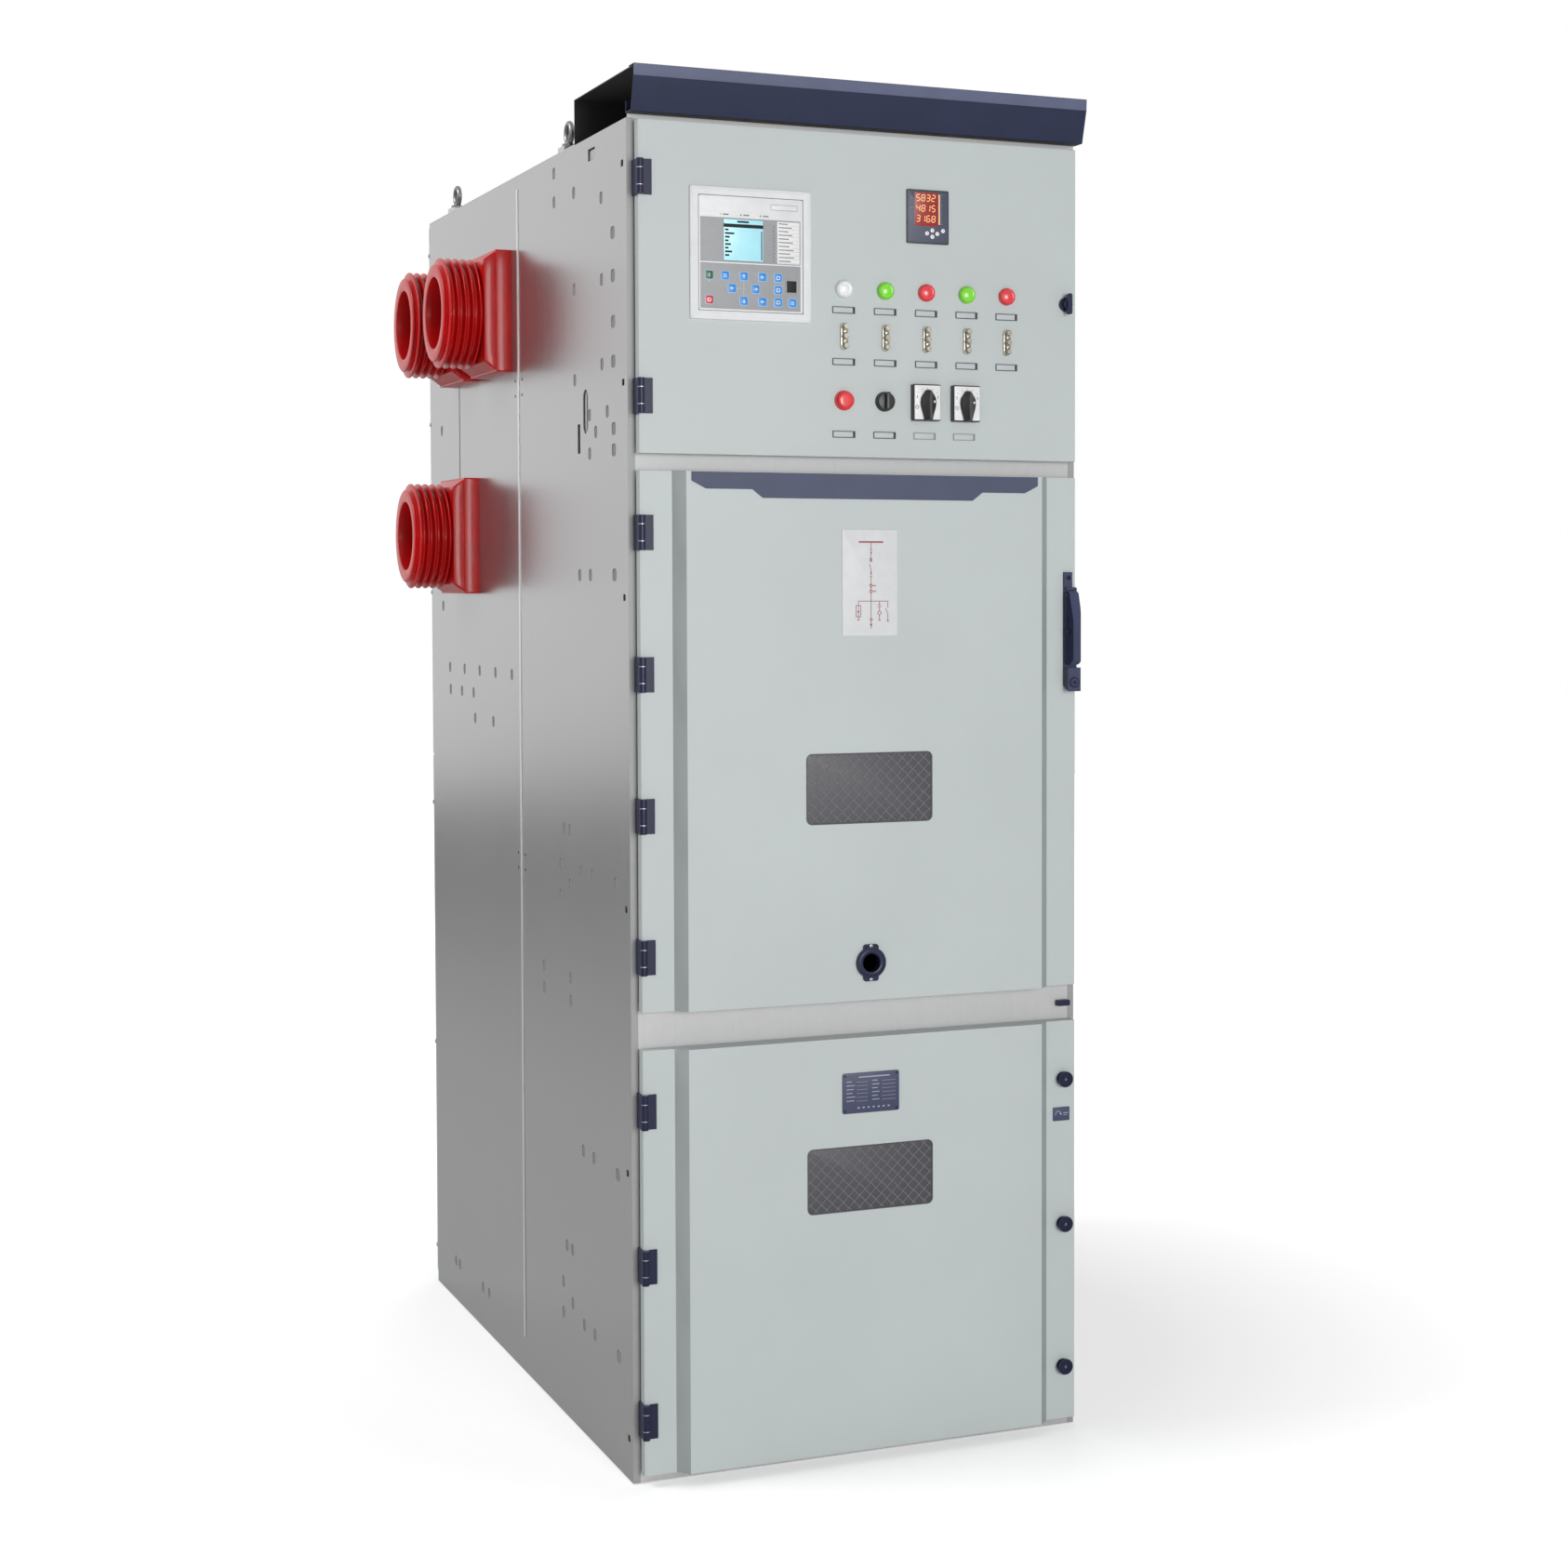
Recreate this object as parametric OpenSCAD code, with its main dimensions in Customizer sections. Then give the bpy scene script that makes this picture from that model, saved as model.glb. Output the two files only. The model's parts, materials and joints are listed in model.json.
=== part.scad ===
// Metal-clad medium voltage switchgear cubicle with three hinged front doors.
// Origin: middle of the footprint, on the floor. The doors face -Y, the bushings face -X.

/* [Cabinet] */
// Width over the side walls
cab_w = 800; // [760:10:1000]
// Depth over the side walls
cab_d = 1440; // [1200:10:1800]
// Height of the side walls
wall_h = 2225; // [2150:5:2700]
// Thickness of every folded sheet
sheet_t = 2; // [1.5:0.5:3]
// Width of the wall edge folded round the front and the back
edge_w = 12; // [8:1:20]
// Middle partition and wall seam, measured back from the front
seam_back = 704; // [600:1:800]
// Width of the bright strip that covers the wall seam
seam_w = 8; // [4:1:20]
// Height of the rim of the floor tray
tray_rim = 60; // [40:5:100]
// Width and depth of a corner post
post_size = 40; // [30:1:60]
// Depth of the legs of the front and rear rails
rail_leg = 28; // [20:1:40]

/* [Doors] */
// Gap under the lowest door
door_foot = 18; // [10:1:40]
// Height of the cable compartment door
cable_door_h = 699; // [600:1:800]
// Frame strip that shows between the two lower doors
low_strip_h = 62; // [40:1:90]
// Height of the breaker compartment door
breaker_door_h = 879; // [800:1:1000]
// Frame strip that shows between the two upper doors
top_strip_h = 28; // [20:1:60]
// Gap between the top door and the top of the walls
door_head = 5; // [3:1:20]
// Left door edge, from the outside of the wall
door_left = 12; // [10:1:20]
// Right door edge, from the outside of the wall
door_right = 10; // [8:1:20]
// Depth of the door edges
door_depth = 20; // [15:1:30]
// Gap between a closed door and the frame
door_gap = 5; // [5:1:10]
// Half width of the raised middle of a lower door
raised_half = 317; // [280:1:330]
// Width of the slope round the raised middle
bevel_run = 18; // [10:1:30]
// Height of the raised middle
bevel_rise = 20; // [10:1:30]

/* [Hinges] */
// Height of a hinge
hinge_h = 57; // [50:1:80]
// Height of the knuckles at the ends of a hinge
end_knuckle_h = 14; // [12:0.5:18]
// Knuckle radius
knuckle_r = 6; // [5:0.5:6]
// Pin radius
hinge_pin_r = 3; // [2:0.5:4]
// Pin axis, from the outside of the wall
hinge_in = 13; // [12.5:0.5:14]
// Pin axis, from the front of the door
hinge_out = 7; // [7:0.5:9]
// Thickness of the leaf on the frame
frame_leaf_t = 2.5; // [2:0.5:3]
// Thickness of the leaf on the door
door_leaf_t = 3; // [2:0.5:4]
// Width of the leaf on the door, from the pin axis
door_leaf_w = 21; // [15:1:25]
// Play of the pin in the door's knuckle
pin_play = 0.3; // [0.2:0.1:0.4]
// Height of the bright washers between the knuckles
washer_h = 1.5; // [1:0.5:3]

/* [Swing handle] */
// Width of the handle
handle_w = 24; // [20:1:30]
// Bottom of the handle above the bottom of its door
handle_up = 511; // [400:1:600]
// Height of the lock block
lock_block_h = 41; // [35:1:50]
// Length of the swinging grip
grip_len = 126; // [110:1:150]
// Depth of the lock block over the base
lock_block_d = 16; // [10:1:20]
// Height of the ridge of the grip above the door
grip_proud = 27; // [24:1:32]
// Height of the screw tab over the base
handle_tab_h = 26; // [20:1:40]
// Width of the screw tab
handle_tab_w = 15.5; // [12:0.5:20]
// Thickness of the handle's base
handle_base_t = 5.5; // [2:0.5:6]

/* [Windows and plates] */
// Window width
window_w = 226; // [150:1:300]
// Height of the breaker window
breaker_window_h = 118; // [80:1:150]
// Height of the cable window
cable_window_h = 110; // [80:1:150]
// Corner radius of the windows
window_r = 10; // [4:1:20]
// Thickness of a window pane
pane_t = 4; // [3:1:6]
// Width of the mimic diagram plate
mimic_w = 98; // [80:1:120]
// Height of the mimic diagram plate
mimic_h = 176; // [140:1:180]
// Width of the plate on the lower door
plate_w = 102; // [80:1:140]
// Height of the plate on the lower door
plate_h = 68; // [50:1:90]
// Thickness of the plates and trims
plate_t = 1.5; // [1:0.5:3]
// Radius of the racking port's bore
port_r = 15.5; // [12:0.5:18]
// Outer radius of the racking port's collar
port_collar_r = 26; // [24:0.5:30]

/* [Instruments] */
// Width of the protection relay
relay_w = 208; // [190:1:230]
// Height of the protection relay
relay_h = 215; // [190:1:230]
// Middle of the relay, from the left edge of the door
relay_in = 189; // [150:0.5:200]
// Middle of the relay, under the top of the door
relay_down = 208; // [150:1:250]
// Depth of the relay behind the door
relay_case_d = 140; // [100:5:180]
// Column nearest the middle, from the middle of the cabinet
column_x = -36.5; // [-40:0.5:-30]
// Distance between columns of lamps, links and labels
column_step = 74; // [60:1:80]
// Radius of a pilot lamp
lamp_r = 14.5; // [11:0.5:18]
// Width of the meter
meter_w = 76; // [60:1:96]
// Height of the meter
meter_h = 90; // [70:1:96]
// Width of a rotary switch plate
switch_w = 49; // [40:1:60]
// Height of a rotary switch plate
switch_h = 61; // [50:1:70]

/* [Header and roof] */
// Height from the top of the walls to the top of the header
header_h = 79; // [60:1:120]
// How far the top of the header leans out over the frame
header_out = 48; // [47:1:80]
// Depth of the wiring duct behind the header
duct_d = 308; // [200:1:400]
// Radius of the opening in a lifting eye
eye_r = 12.5; // [10:0.5:20]
// Radius of the rod of a lifting eye
eye_rod_r = 5; // [4:0.5:8]

/* [Bushings] */
// Radius of the bushing bore
bushing_r = 67; // [50:1:75]
// Outer radius of a shed
shed_r = 103; // [95:1:120]
// Distance between sheds
shed_step = 14; // [12:0.5:14]
// Number of sheds
shed_count = 5; // [3:1:6]
// Length of the bushing outside the wall
bushing_len = 123; // [110:1:160]
// Height of the bushing flange
flange_h = 226; // [200:1:260]
// Depth of the bushing flange along the wall
flange_w = 170; // [160:1:220]
// Thickness of the bushing flange
flange_t = 29; // [20:1:35]

/* [Hidden] */
$fn = 64;
hx = cab_w / 2;
front_y = -cab_d / 2;
rear_y = cab_d / 2;
seam_y = front_y + seam_back;
tray_t = 3;
rear_joint_z = 1116;
rear_cover_proud = 25;

// Door edges and faces
door_x0 = -hx + door_left;
door_x1 = hx - door_right;
door_mid = (door_x0 + door_x1) / 2;
door_back = front_y - door_gap;
door_face = door_back - door_depth;
raised_face = door_face - bevel_rise;
cable_z = door_foot;
low_strip_z = cable_z + cable_door_h;
breaker_z = low_strip_z + low_strip_h;
top_strip_z = breaker_z + breaker_door_h;
lv_z = top_strip_z + top_strip_h;
lv_top = wall_h - door_head;
lv_door_h = lv_top - lv_z;
strip_lap = 14;

// Hinges, as heights above the bottom of each door
hinge_x = -hx + hinge_in;
hinge_y = door_face - hinge_out;
lv_hinge_end = 92;
hinge_low = 90;
hinge_high = 100;
leaf_gap = 0.5;
mid_knuckle_h = hinge_h - 2 * end_knuckle_h - 2 * washer_h;
lv_hinges = [lv_z + lv_hinge_end, lv_top - lv_hinge_end];
breaker_hinges = [for (i = [0:3]) breaker_z + hinge_low + i * (breaker_door_h - hinge_low - hinge_high) / 3];
cable_hinges = [for (i = [0:2]) cable_z + hinge_low + i * (cable_door_h - hinge_low - hinge_high) / 2];

// Compartment floors and walls
lv_floor_z = top_strip_z + top_strip_h / 2 - 1;
breaker_floor_z = low_strip_z + low_strip_h / 2 - 3;
duct_y = front_y + duct_d;
header_top = wall_h + header_h;
header_band_h = 19;
header_lip = 6;
lap_flange = 26;
roof_t = 2;
relief_w = 560;
relief_spans = [[duct_y + 70, seam_y - 60], [seam_y + 60, rear_y - 300]];
eye_pad = [30, 40, 8];
eye_ys = [front_y + 397, rear_y - 192];

// Swing handle
handle_x = hx - 21;
handle_z = breaker_z + handle_up;
grip_z0 = handle_z + lock_block_h + 5;
grip_z1 = grip_z0 + grip_len;
handle_base_y = door_face - handle_base_t;
grip_back = handle_base_y - 2;
grip_front = door_face - grip_proud;
pivot_round = 6;
pivot_y = grip_back - pivot_round;
pivot_z = grip_z1 - pivot_round;
pivot_pin_r = 2;
turn_z = pivot_z - 18;
hub_r = 8;
hub_front = handle_base_y - 7;
lug_w = 8;
lug_r = 4.5;
lock_slant = 10;
lock_ring_z = handle_z + lock_block_h / 2 - 5;
cap_gap = 3;
cap_h = 4.5;
play = 0.4;

// Windows, plates and the racking port, above the bottom of their doors
breaker_window_z = breaker_z + 356;
cable_window_z = cable_z + 462;
mimic_z = breaker_z + 698;
port_z = breaker_z + 63;
plate_z = cable_z + 606;
tag_x = hx - 36;
tag_z = cable_z + 536;
pane_lap = 12;

// Instruments on the low voltage door, below its top
relay_x = door_x0 + relay_in;
relay_z = lv_top - relay_down;
relay_face_w = relay_w - 29;
relay_face_h = relay_h - 31;
relay_front = door_face - 6;
relay_sink = 1;
meter_x = column_x + 2 * column_step + 2.5;
meter_z = lv_top - 129.5;
lamp_z = lv_top - 256.5;
link_z = lv_top - 334.5;
label_z = [lv_top - 291, lv_top - 376.5, lv_top - 496.5];
label_size = [40, 11.5];
control_z = lv_top - 440.5;
control_step = column_step - 1.5;
latch_x = hx - 29;
latch_z = lv_top - 265;
switch_d = 13;
switch_front = door_face - switch_d - 1.5;
latch_w = 8;
latch_len = 36;

// Quarter-turn locks on the cable door
lock_x = hx - 33;
lock_zs = [cable_z + 94, cable_z + 344.5, cable_z + 598];
lock_disc_r = 14;
lock_stem_r = 6.8;

// Bushing centres on the left wall, as depth behind the seam and height below the wall's top
bushing_y = [153, 420];
bushing_drop = [241.5, 655.5];
wall_hole_r = bushing_r + 3;
shed_z = bushing_len - 11 - (shed_count - 1) * shed_step;
neck_h = shed_z - 6;
bushing_places = [
    [seam_y + bushing_y[0], wall_h - bushing_drop[0]],
    [seam_y + bushing_y[1], wall_h - bushing_drop[0]],
    [seam_y + bushing_y[1], wall_h - bushing_drop[1]]];

// ---------------------------------------------------------------- shared shapes

function unit(v) = v / norm(v);
function left_of(v) = [-v.y, v.x];

// Offset of a corner between two directions, so both sides move by t
function mitre(a, b, t) = t * (left_of(a) + left_of(b)) / (1 + left_of(a) * left_of(b));

function corner_shift(p, i, t) =
    let (last = len(p) - 1,
         a = i > 0 ? unit(p[i] - p[i - 1]) : unit(p[1] - p[0]),
         b = i < last ? unit(p[i + 1] - p[i]) : unit(p[last] - p[last - 1]))
    mitre(a, b, t);

// Outline of a sheet of thickness t folded along a path, on the left side of the path
function folded(p, t = sheet_t) =
    concat(p, [for (i = [len(p) - 1:-1:0]) p[i] + corner_shift(p, i, t)]);

// Rectangle with round corners, centred
function round_rect(w, h, r, steps = 6) =
    [for (c = [0:3]) let (sx = (c == 0 || c == 3) ? 1 : -1, sy = c < 2 ? 1 : -1)
        for (k = [0:steps]) let (a = 90 * (c + k / steps))
            [sx * (w / 2 - r) + r * cos(a), sy * (h / 2 - r) + r * sin(a)]];

// Arc of points round a centre
function arc(cx, cy, r, a0, a1, steps = 8) =
    [for (k = [0:steps]) let (a = a0 + (a1 - a0) * k / steps) [cx + r * cos(a), cy + r * sin(a)]];

// Extrudes a YZ outline along X, from x0 over a length
module along_x(x0, length) {
    translate([x0, 0, 0]) rotate([90, 0, 90]) linear_extrude(length) children();
}

// Extrudes an XZ outline forwards from a face at y
module on_face(x, y, z, t) {
    translate([x, y, z]) rotate([90, 0, 0]) linear_extrude(t) children();
}

module both_sides() {
    children();
    mirror([1, 0, 0]) children();
}

// Front rail across the two posts: a channel with its web in front
module channel(z0, z1) {
    web_x = hx - edge_w;
    leg_x = hx - 3 * sheet_t - post_size;
    along_x(-web_x, 2 * web_x) translate([front_y, z0]) square([sheet_t, z1 - z0]);
    for (z = [z0, z1 - sheet_t])
        along_x(-leg_x, 2 * leg_x) translate([front_y, z]) square([rail_leg, sheet_t]);
}

// ---------------------------------------------------------------- cabinet

module floor_tray() {
    x = hx - sheet_t;
    y0 = front_y + sheet_t;
    length = cab_d - 2 * sheet_t;
    color("silver") difference() {
        union() {
            translate([-x, y0, 0]) cube([2 * x, length, tray_t]);
            both_sides() translate([-x, y0, 0]) cube([sheet_t, length, tray_rim]);
            for (y = [front_y, rear_y - sheet_t])
                translate([-hx + edge_w, y, 0]) cube([cab_w - 2 * edge_w, sheet_t, tray_rim]);
        }
        for (sx = [-1, 1], sy = [-1, 1])
            translate([sx * (hx - 100), sy * (rear_y - 100), -1]) cylinder(r = 7.5, h = tray_t + 2);
    }
}

// Four folded posts, each a channel open to the middle of the cabinet
module corner_posts() {
    x0 = -hx + 2 * sheet_t;
    x1 = x0 + post_size;
    y0 = front_y + sheet_t;
    y1 = y0 + post_size;
    path = [[x1, y1], [x0, y1], [x0, y0], [x1, y0]];
    color("silver") both_sides() for (back = [0, 1]) mirror([0, back, 0])
        translate([0, 0, tray_t]) linear_extrude(wall_h - tray_t - sheet_t) polygon(folded(path));
}

module cross_rails() {
    color("gainsboro") {
        channel(low_strip_z - strip_lap, breaker_z + strip_lap);
        channel(top_strip_z - strip_lap, lv_z + strip_lap);
        channel(lv_top - strip_lap, wall_h - sheet_t);
        mirror([0, 1, 0]) {
            channel(rear_joint_z - 20, rear_joint_z + 20);
            channel(wall_h - 40, wall_h);
        }
    }
}

// A wall sheet whose outer edge is folded round the post
module wall_sheet(y0, y1, folded_edge_y) {
    path = folded_edge_y < 0
        ? [[-hx, y1], [-hx, y0], [-hx + edge_w, y0]]
        : [[-hx + edge_w, y1], [-hx, y1], [-hx, y0]];
    linear_extrude(wall_h) polygon(folded(path));
}

// Cut through the left wall, with its outline given along Y and Z
module wall_cut(y, z) {
    along_x(-hx - 1, sheet_t + 2) translate([y, z]) children();
}

module left_wall_front() {
    color("silver") difference() {
        wall_sheet(front_y, seam_y, -1);
        wall_cut(front_y + 204, wall_h - 30) polygon(round_rect(43, 20, 2));
        wall_cut(front_y + 250, wall_h - 457.5) polygon(round_rect(30, 75, 14.9));
        wall_cut(front_y + 292, wall_h - 502) polygon(round_rect(16, 50, 1));
        for (z = [69, 509, 943, 1453, 1802, 2155])
            wall_cut(front_y + 24, z) polygon(round_rect(14, 11, 3));
    }
}

module left_wall_rear() {
    color("silver") difference() {
        wall_sheet(seam_y, rear_y, 1);
        for (p = bushing_places)
            wall_cut(p.x, p.y) circle(r = wall_hole_r);
        wall_cut(front_y + 1181, wall_h - 444) polygon(round_rect(6, 196, 2.9));
    }
}

module right_wall_front() {
    color("silver") mirror([1, 0, 0]) wall_sheet(front_y, seam_y, -1);
}

module right_wall_rear() {
    color("silver") mirror([1, 0, 0]) wall_sheet(seam_y, rear_y, 1);
}

module seam_strips() {
    color("white") both_sides()
        translate([-hx - 1.5, seam_y - seam_w / 2, 66]) cube([1.5, seam_w, wall_h - 90]);
}

// Partition between the front and rear compartments, narrower within the tray's rim
module middle_partition() {
    x = hx - sheet_t;
    color("silver") translate([0, seam_y + sheet_t / 2, 0]) rotate([90, 0, 0]) linear_extrude(sheet_t)
        polygon([[sheet_t - x, tray_t], [x - sheet_t, tray_t], [x - sheet_t, tray_rim], [x, tray_rim],
                 [x, wall_h], [-x, wall_h], [-x, tray_rim], [sheet_t - x, tray_rim]]);
}

// Shelf between the walls, notched round the two front posts
module front_shelf(z, y1) {
    x = hx - sheet_t;
    inner = x - sheet_t - post_size;
    y0 = front_y + sheet_t;
    yp = y0 + post_size;
    translate([0, 0, z]) linear_extrude(sheet_t)
        polygon([[-inner, y0], [inner, y0], [inner, yp], [x, yp], [x, y1], [-x, y1], [-x, yp], [-inner, yp]]);
}

// Floors of the breaker compartment and of the low voltage compartment
module compartment_floors() {
    color("silver") {
        front_shelf(breaker_floor_z, seam_y - sheet_t / 2);
        front_shelf(lv_floor_z, duct_y);
    }
}

// Back and ceiling of the low voltage compartment, with the flange that carries the header.
// The flange is notched round the folded edges of the walls.
module lv_back() {
    x = hx - sheet_t;
    path = [[front_y, wall_h + lap_flange], [front_y, wall_h - sheet_t], [duct_y, wall_h - sheet_t]];
    color("silver") {
        difference() {
            along_x(-x, 2 * x) polygon(folded(path));
            both_sides() translate([-hx, front_y - 1, wall_h - 2 * sheet_t])
                cube([edge_w, sheet_t + 2, 2 * sheet_t]);
        }
        translate([-x, duct_y - sheet_t, lv_floor_z + sheet_t])
            cube([2 * x, sheet_t, wall_h - lv_floor_z - sheet_t]);
    }
}

// Tray-shaped cover screwed on the rear frame
module rear_cover(z0, z1) {
    x = hx - 4;
    path = [[x, rear_y], [x, rear_y + rear_cover_proud], [-x, rear_y + rear_cover_proud], [-x, rear_y]];
    translate([0, 0, z0]) linear_extrude(z1 - z0) polygon(folded(path));
    for (z = [z0, z1 - sheet_t])
        translate([0, 0, z]) linear_extrude(sheet_t) polygon(path);
}

module rear_covers() {
    color("gainsboro") {
        rear_cover(door_foot, rear_joint_z - 3);
        rear_cover(rear_joint_z + 3, lv_top);
    }
}

// ---------------------------------------------------------------- header and roof

// Fascia of one folded sheet: top return, upright band, face that leans back, lip and flange
module header_fascia() {
    foot_y = front_y - header_out + 18;
    path = [[front_y - 20, header_top], [front_y - header_out, header_top],
            [front_y - header_out + 1, header_top - header_band_h], [foot_y, wall_h + header_lip],
            [front_y, wall_h + header_lip], [front_y, wall_h + lap_flange]];
    color("midnightblue") along_x(-hx - 1, cab_w + 2) polygon(folded(path));
}

// Top and rear of the wiring duct, open at both ends for the next cubicle
module duct_hood() {
    top = header_top - 2 * sheet_t;
    path = [[front_y - header_out + 8, top], [duct_y, top], [duct_y, wall_h]];
    color("dimgray") along_x(-hx, cab_w) polygon(folded(path));
}

// Roof with two relief openings and four raised pads for the lifting eyes
module roof_plate() {
    y0 = duct_y + sheet_t;
    color("silver") {
        difference() {
            translate([-hx, y0, wall_h]) cube([cab_w, rear_y - y0, roof_t]);
            for (f = relief_spans)
                translate([-relief_w / 2, f[0], wall_h - 1]) cube([relief_w, f[1] - f[0], roof_t + 2]);
        }
        both_sides() for (y = eye_ys)
            translate([-hx, y - eye_pad.y / 2, wall_h]) cube([eye_pad.x, eye_pad.y, eye_pad.z + roof_t]);
    }
}

// Pressure relief flaps that cover the openings in the roof
module relief_flaps() {
    lap = 20;
    color("gainsboro") for (f = relief_spans)
        translate([-relief_w / 2 - lap, f[0] - lap, wall_h + roof_t])
            cube([relief_w + 2 * lap, f[1] - f[0] + 2 * lap, sheet_t]);
}

// Eye bolt: round collar and a ring that stands across the cabinet's width
module lifting_eye() {
    ring_r = eye_r + eye_rod_r;
    cylinder(r = eye_r, h = 6);
    translate([0, 0, ring_r + eye_rod_r + 1]) rotate([0, 90, 0])
        rotate_extrude() translate([ring_r, 0]) circle(r = eye_rod_r, $fn = 32);
}

module lifting_eyes() {
    color("lightgray") both_sides() for (y = eye_ys)
        translate([-hx + eye_pad.x / 2, y, wall_h + roof_t + eye_pad.z]) lifting_eye();
}

// ---------------------------------------------------------------- bushings

// Radial outline of the ribbed barrel over its square neck: shed tips with sloping flanks
function shed_outline() =
    let (valley = shed_r - 14, tip = 2)
    concat([[bushing_r - 5, neck_h - 1], [valley, neck_h - 1]],
        [for (i = [0:shed_count - 1]) let (z = shed_z + i * shed_step)
            for (p = concat([[valley, z - 6]], arc(shed_r - tip, z, tip, -75, 75, 6), [[valley, z + 6]])) p],
        [[shed_r - 12, bushing_len - 2], [shed_r - 14, bushing_len], [bushing_r - 5, bushing_len]]);

module bushing(place) {
    translate([-hx, place.x, place.y]) rotate([0, -90, 0]) difference() {
        union() {
            linear_extrude(flange_t) polygon(round_rect(flange_h, flange_w, 3));
            linear_extrude(neck_h) polygon(round_rect(flange_h - 28, flange_w - 4, 6));
            rotate_extrude() polygon(shed_outline());
        }
        translate([0, 0, -1]) cylinder(r = bushing_r, h = bushing_len + 2);
    }
}

module bushing_front_upper() { color("firebrick") bushing(bushing_places[0]); }
module bushing_rear_upper() { color("firebrick") bushing(bushing_places[1]); }
module bushing_rear_lower() { color("firebrick") bushing(bushing_places[2]); }

// ---------------------------------------------------------------- hinges

// Half of the hinge on the frame: leaf beside the door's edge, end knuckles and the pin
module frame_hinge(z) {
    z0 = z - hinge_h / 2;
    leaf_x = door_x0 - leaf_gap - frame_leaf_t;
    leaf_y = hinge_y + knuckle_r + leaf_gap;
    translate([leaf_x, leaf_y, z0]) cube([frame_leaf_t, front_y - leaf_y, hinge_h]);
    for (k = [0, hinge_h - end_knuckle_h]) {
        translate([hinge_x, hinge_y, z0 + k]) cylinder(r = knuckle_r, h = end_knuckle_h);
        translate([leaf_x, hinge_y, z0 + k]) cube([hinge_x - leaf_x, knuckle_r - 1, end_knuckle_h]);
        translate([leaf_x, hinge_y, z0 + k]) cube([frame_leaf_t, leaf_y - hinge_y + 1, end_knuckle_h]);
    }
    translate([hinge_x, hinge_y, z0]) cylinder(r = hinge_pin_r, h = hinge_h);
}

// Half of the hinge on the door: leaf and middle knuckle with the pin's hole
module door_hinge(z) {
    z0 = z - hinge_h / 2;
    mid_h = mid_knuckle_h - 0.6;
    leaf_x = hinge_x + knuckle_r + 1;
    difference() {
        union() {
            translate([leaf_x, door_face - door_leaf_t, z0])
                cube([door_leaf_w - knuckle_r - 1, door_leaf_t, hinge_h]);
            translate([hinge_x, door_face - door_leaf_t, z - mid_h / 2])
                cube([knuckle_r + 2, door_leaf_t - 0.5, mid_h]);
            translate([hinge_x, hinge_y, z - mid_h / 2]) cylinder(r = knuckle_r, h = mid_h);
        }
        translate([hinge_x, hinge_y, z0 - 1]) cylinder(r = hinge_pin_r + pin_play, h = hinge_h + 2);
    }
}

// Bright washers between the knuckles, loose on the pin
module pin_washers(z) {
    z0 = z - hinge_h / 2;
    for (k = [end_knuckle_h, hinge_h - end_knuckle_h - washer_h])
        translate([hinge_x, hinge_y, z0 + k]) difference() {
            cylinder(r = knuckle_r - 0.5, h = washer_h);
            translate([0, 0, -1]) cylinder(r = hinge_pin_r + 0.1, h = washer_h + 2);
        }
}

module frame_hinges() {
    color("midnightblue") for (z = concat(lv_hinges, breaker_hinges, cable_hinges)) frame_hinge(z);
}

module hinge_washers() {
    color("lightgray") for (z = concat(lv_hinges, breaker_hinges, cable_hinges)) pin_washers(z);
}

module lv_door_hinges() { color("midnightblue") for (z = lv_hinges) door_hinge(z); }
module breaker_door_hinges() { color("midnightblue") for (z = breaker_hinges) door_hinge(z); }
module cable_door_hinges() { color("midnightblue") for (z = cable_hinges) door_hinge(z); }

// ---------------------------------------------------------------- doors

flat_path = [[door_x0, door_back], [door_x0, door_face], [door_x1, door_face], [door_x1, door_back]];

raised_path = [
    [door_x0, door_back], [door_x0, door_face],
    [door_mid - raised_half - bevel_run, door_face], [door_mid - raised_half, raised_face],
    [door_mid + raised_half, raised_face], [door_mid + raised_half + bevel_run, door_face],
    [door_x1, door_face], [door_x1, door_back]];

// Folded door pan, open to the rear and closed at the top and bottom
module door_pan(path, z0, height) {
    translate([0, 0, z0]) linear_extrude(height) polygon(folded(path));
    for (z = [z0, z0 + height - sheet_t])
        translate([0, 0, z]) linear_extrude(sheet_t) polygon(path);
}

// Cuts through a door skin whose front is at y
module skin_cut(x, y, z) {
    on_face(x, y + sheet_t + 1, z, sheet_t + 2) children();
}

module lv_door_panel() {
    color("gainsboro") difference() {
        door_pan(flat_path, lv_z, lv_door_h);
        skin_cut(relay_x, door_face, relay_z) square([relay_face_w + 1, relay_face_h + 1], center = true);
        skin_cut(meter_x, door_face, meter_z) square([meter_w - 9, meter_h - 9], center = true);
        for (i = [0:4]) skin_cut(column_at(i), door_face, lamp_z) circle(r = 11.2);
        skin_cut(control_at(0), door_face, control_z) circle(r = 13.2);
        skin_cut(control_at(1), door_face, control_z) circle(r = 11.2);
        for (i = [2:3]) skin_cut(control_at(i), door_face, control_z) circle(r = 8.4);
        skin_cut(latch_x, door_face, latch_z) circle(r = 6.2);
    }
}

module breaker_door_panel() {
    color("gainsboro") difference() {
        door_pan(raised_path, breaker_z, breaker_door_h);
        skin_cut(door_mid, raised_face, breaker_window_z) polygon(round_rect(window_w, breaker_window_h, window_r));
        skin_cut(door_mid, raised_face, port_z) circle(r = port_r + 4.5);
        skin_cut(handle_x, door_face, turn_z) circle(r = 6);
    }
}

module cable_door_panel() {
    color("gainsboro") difference() {
        door_pan(raised_path, cable_z, cable_door_h);
        skin_cut(door_mid, raised_face, cable_window_z) polygon(round_rect(window_w, cable_window_h, window_r));
        for (z = lock_zs) skin_cut(lock_x, door_face, z) circle(r = lock_stem_r + 1);
    }
}

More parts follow.
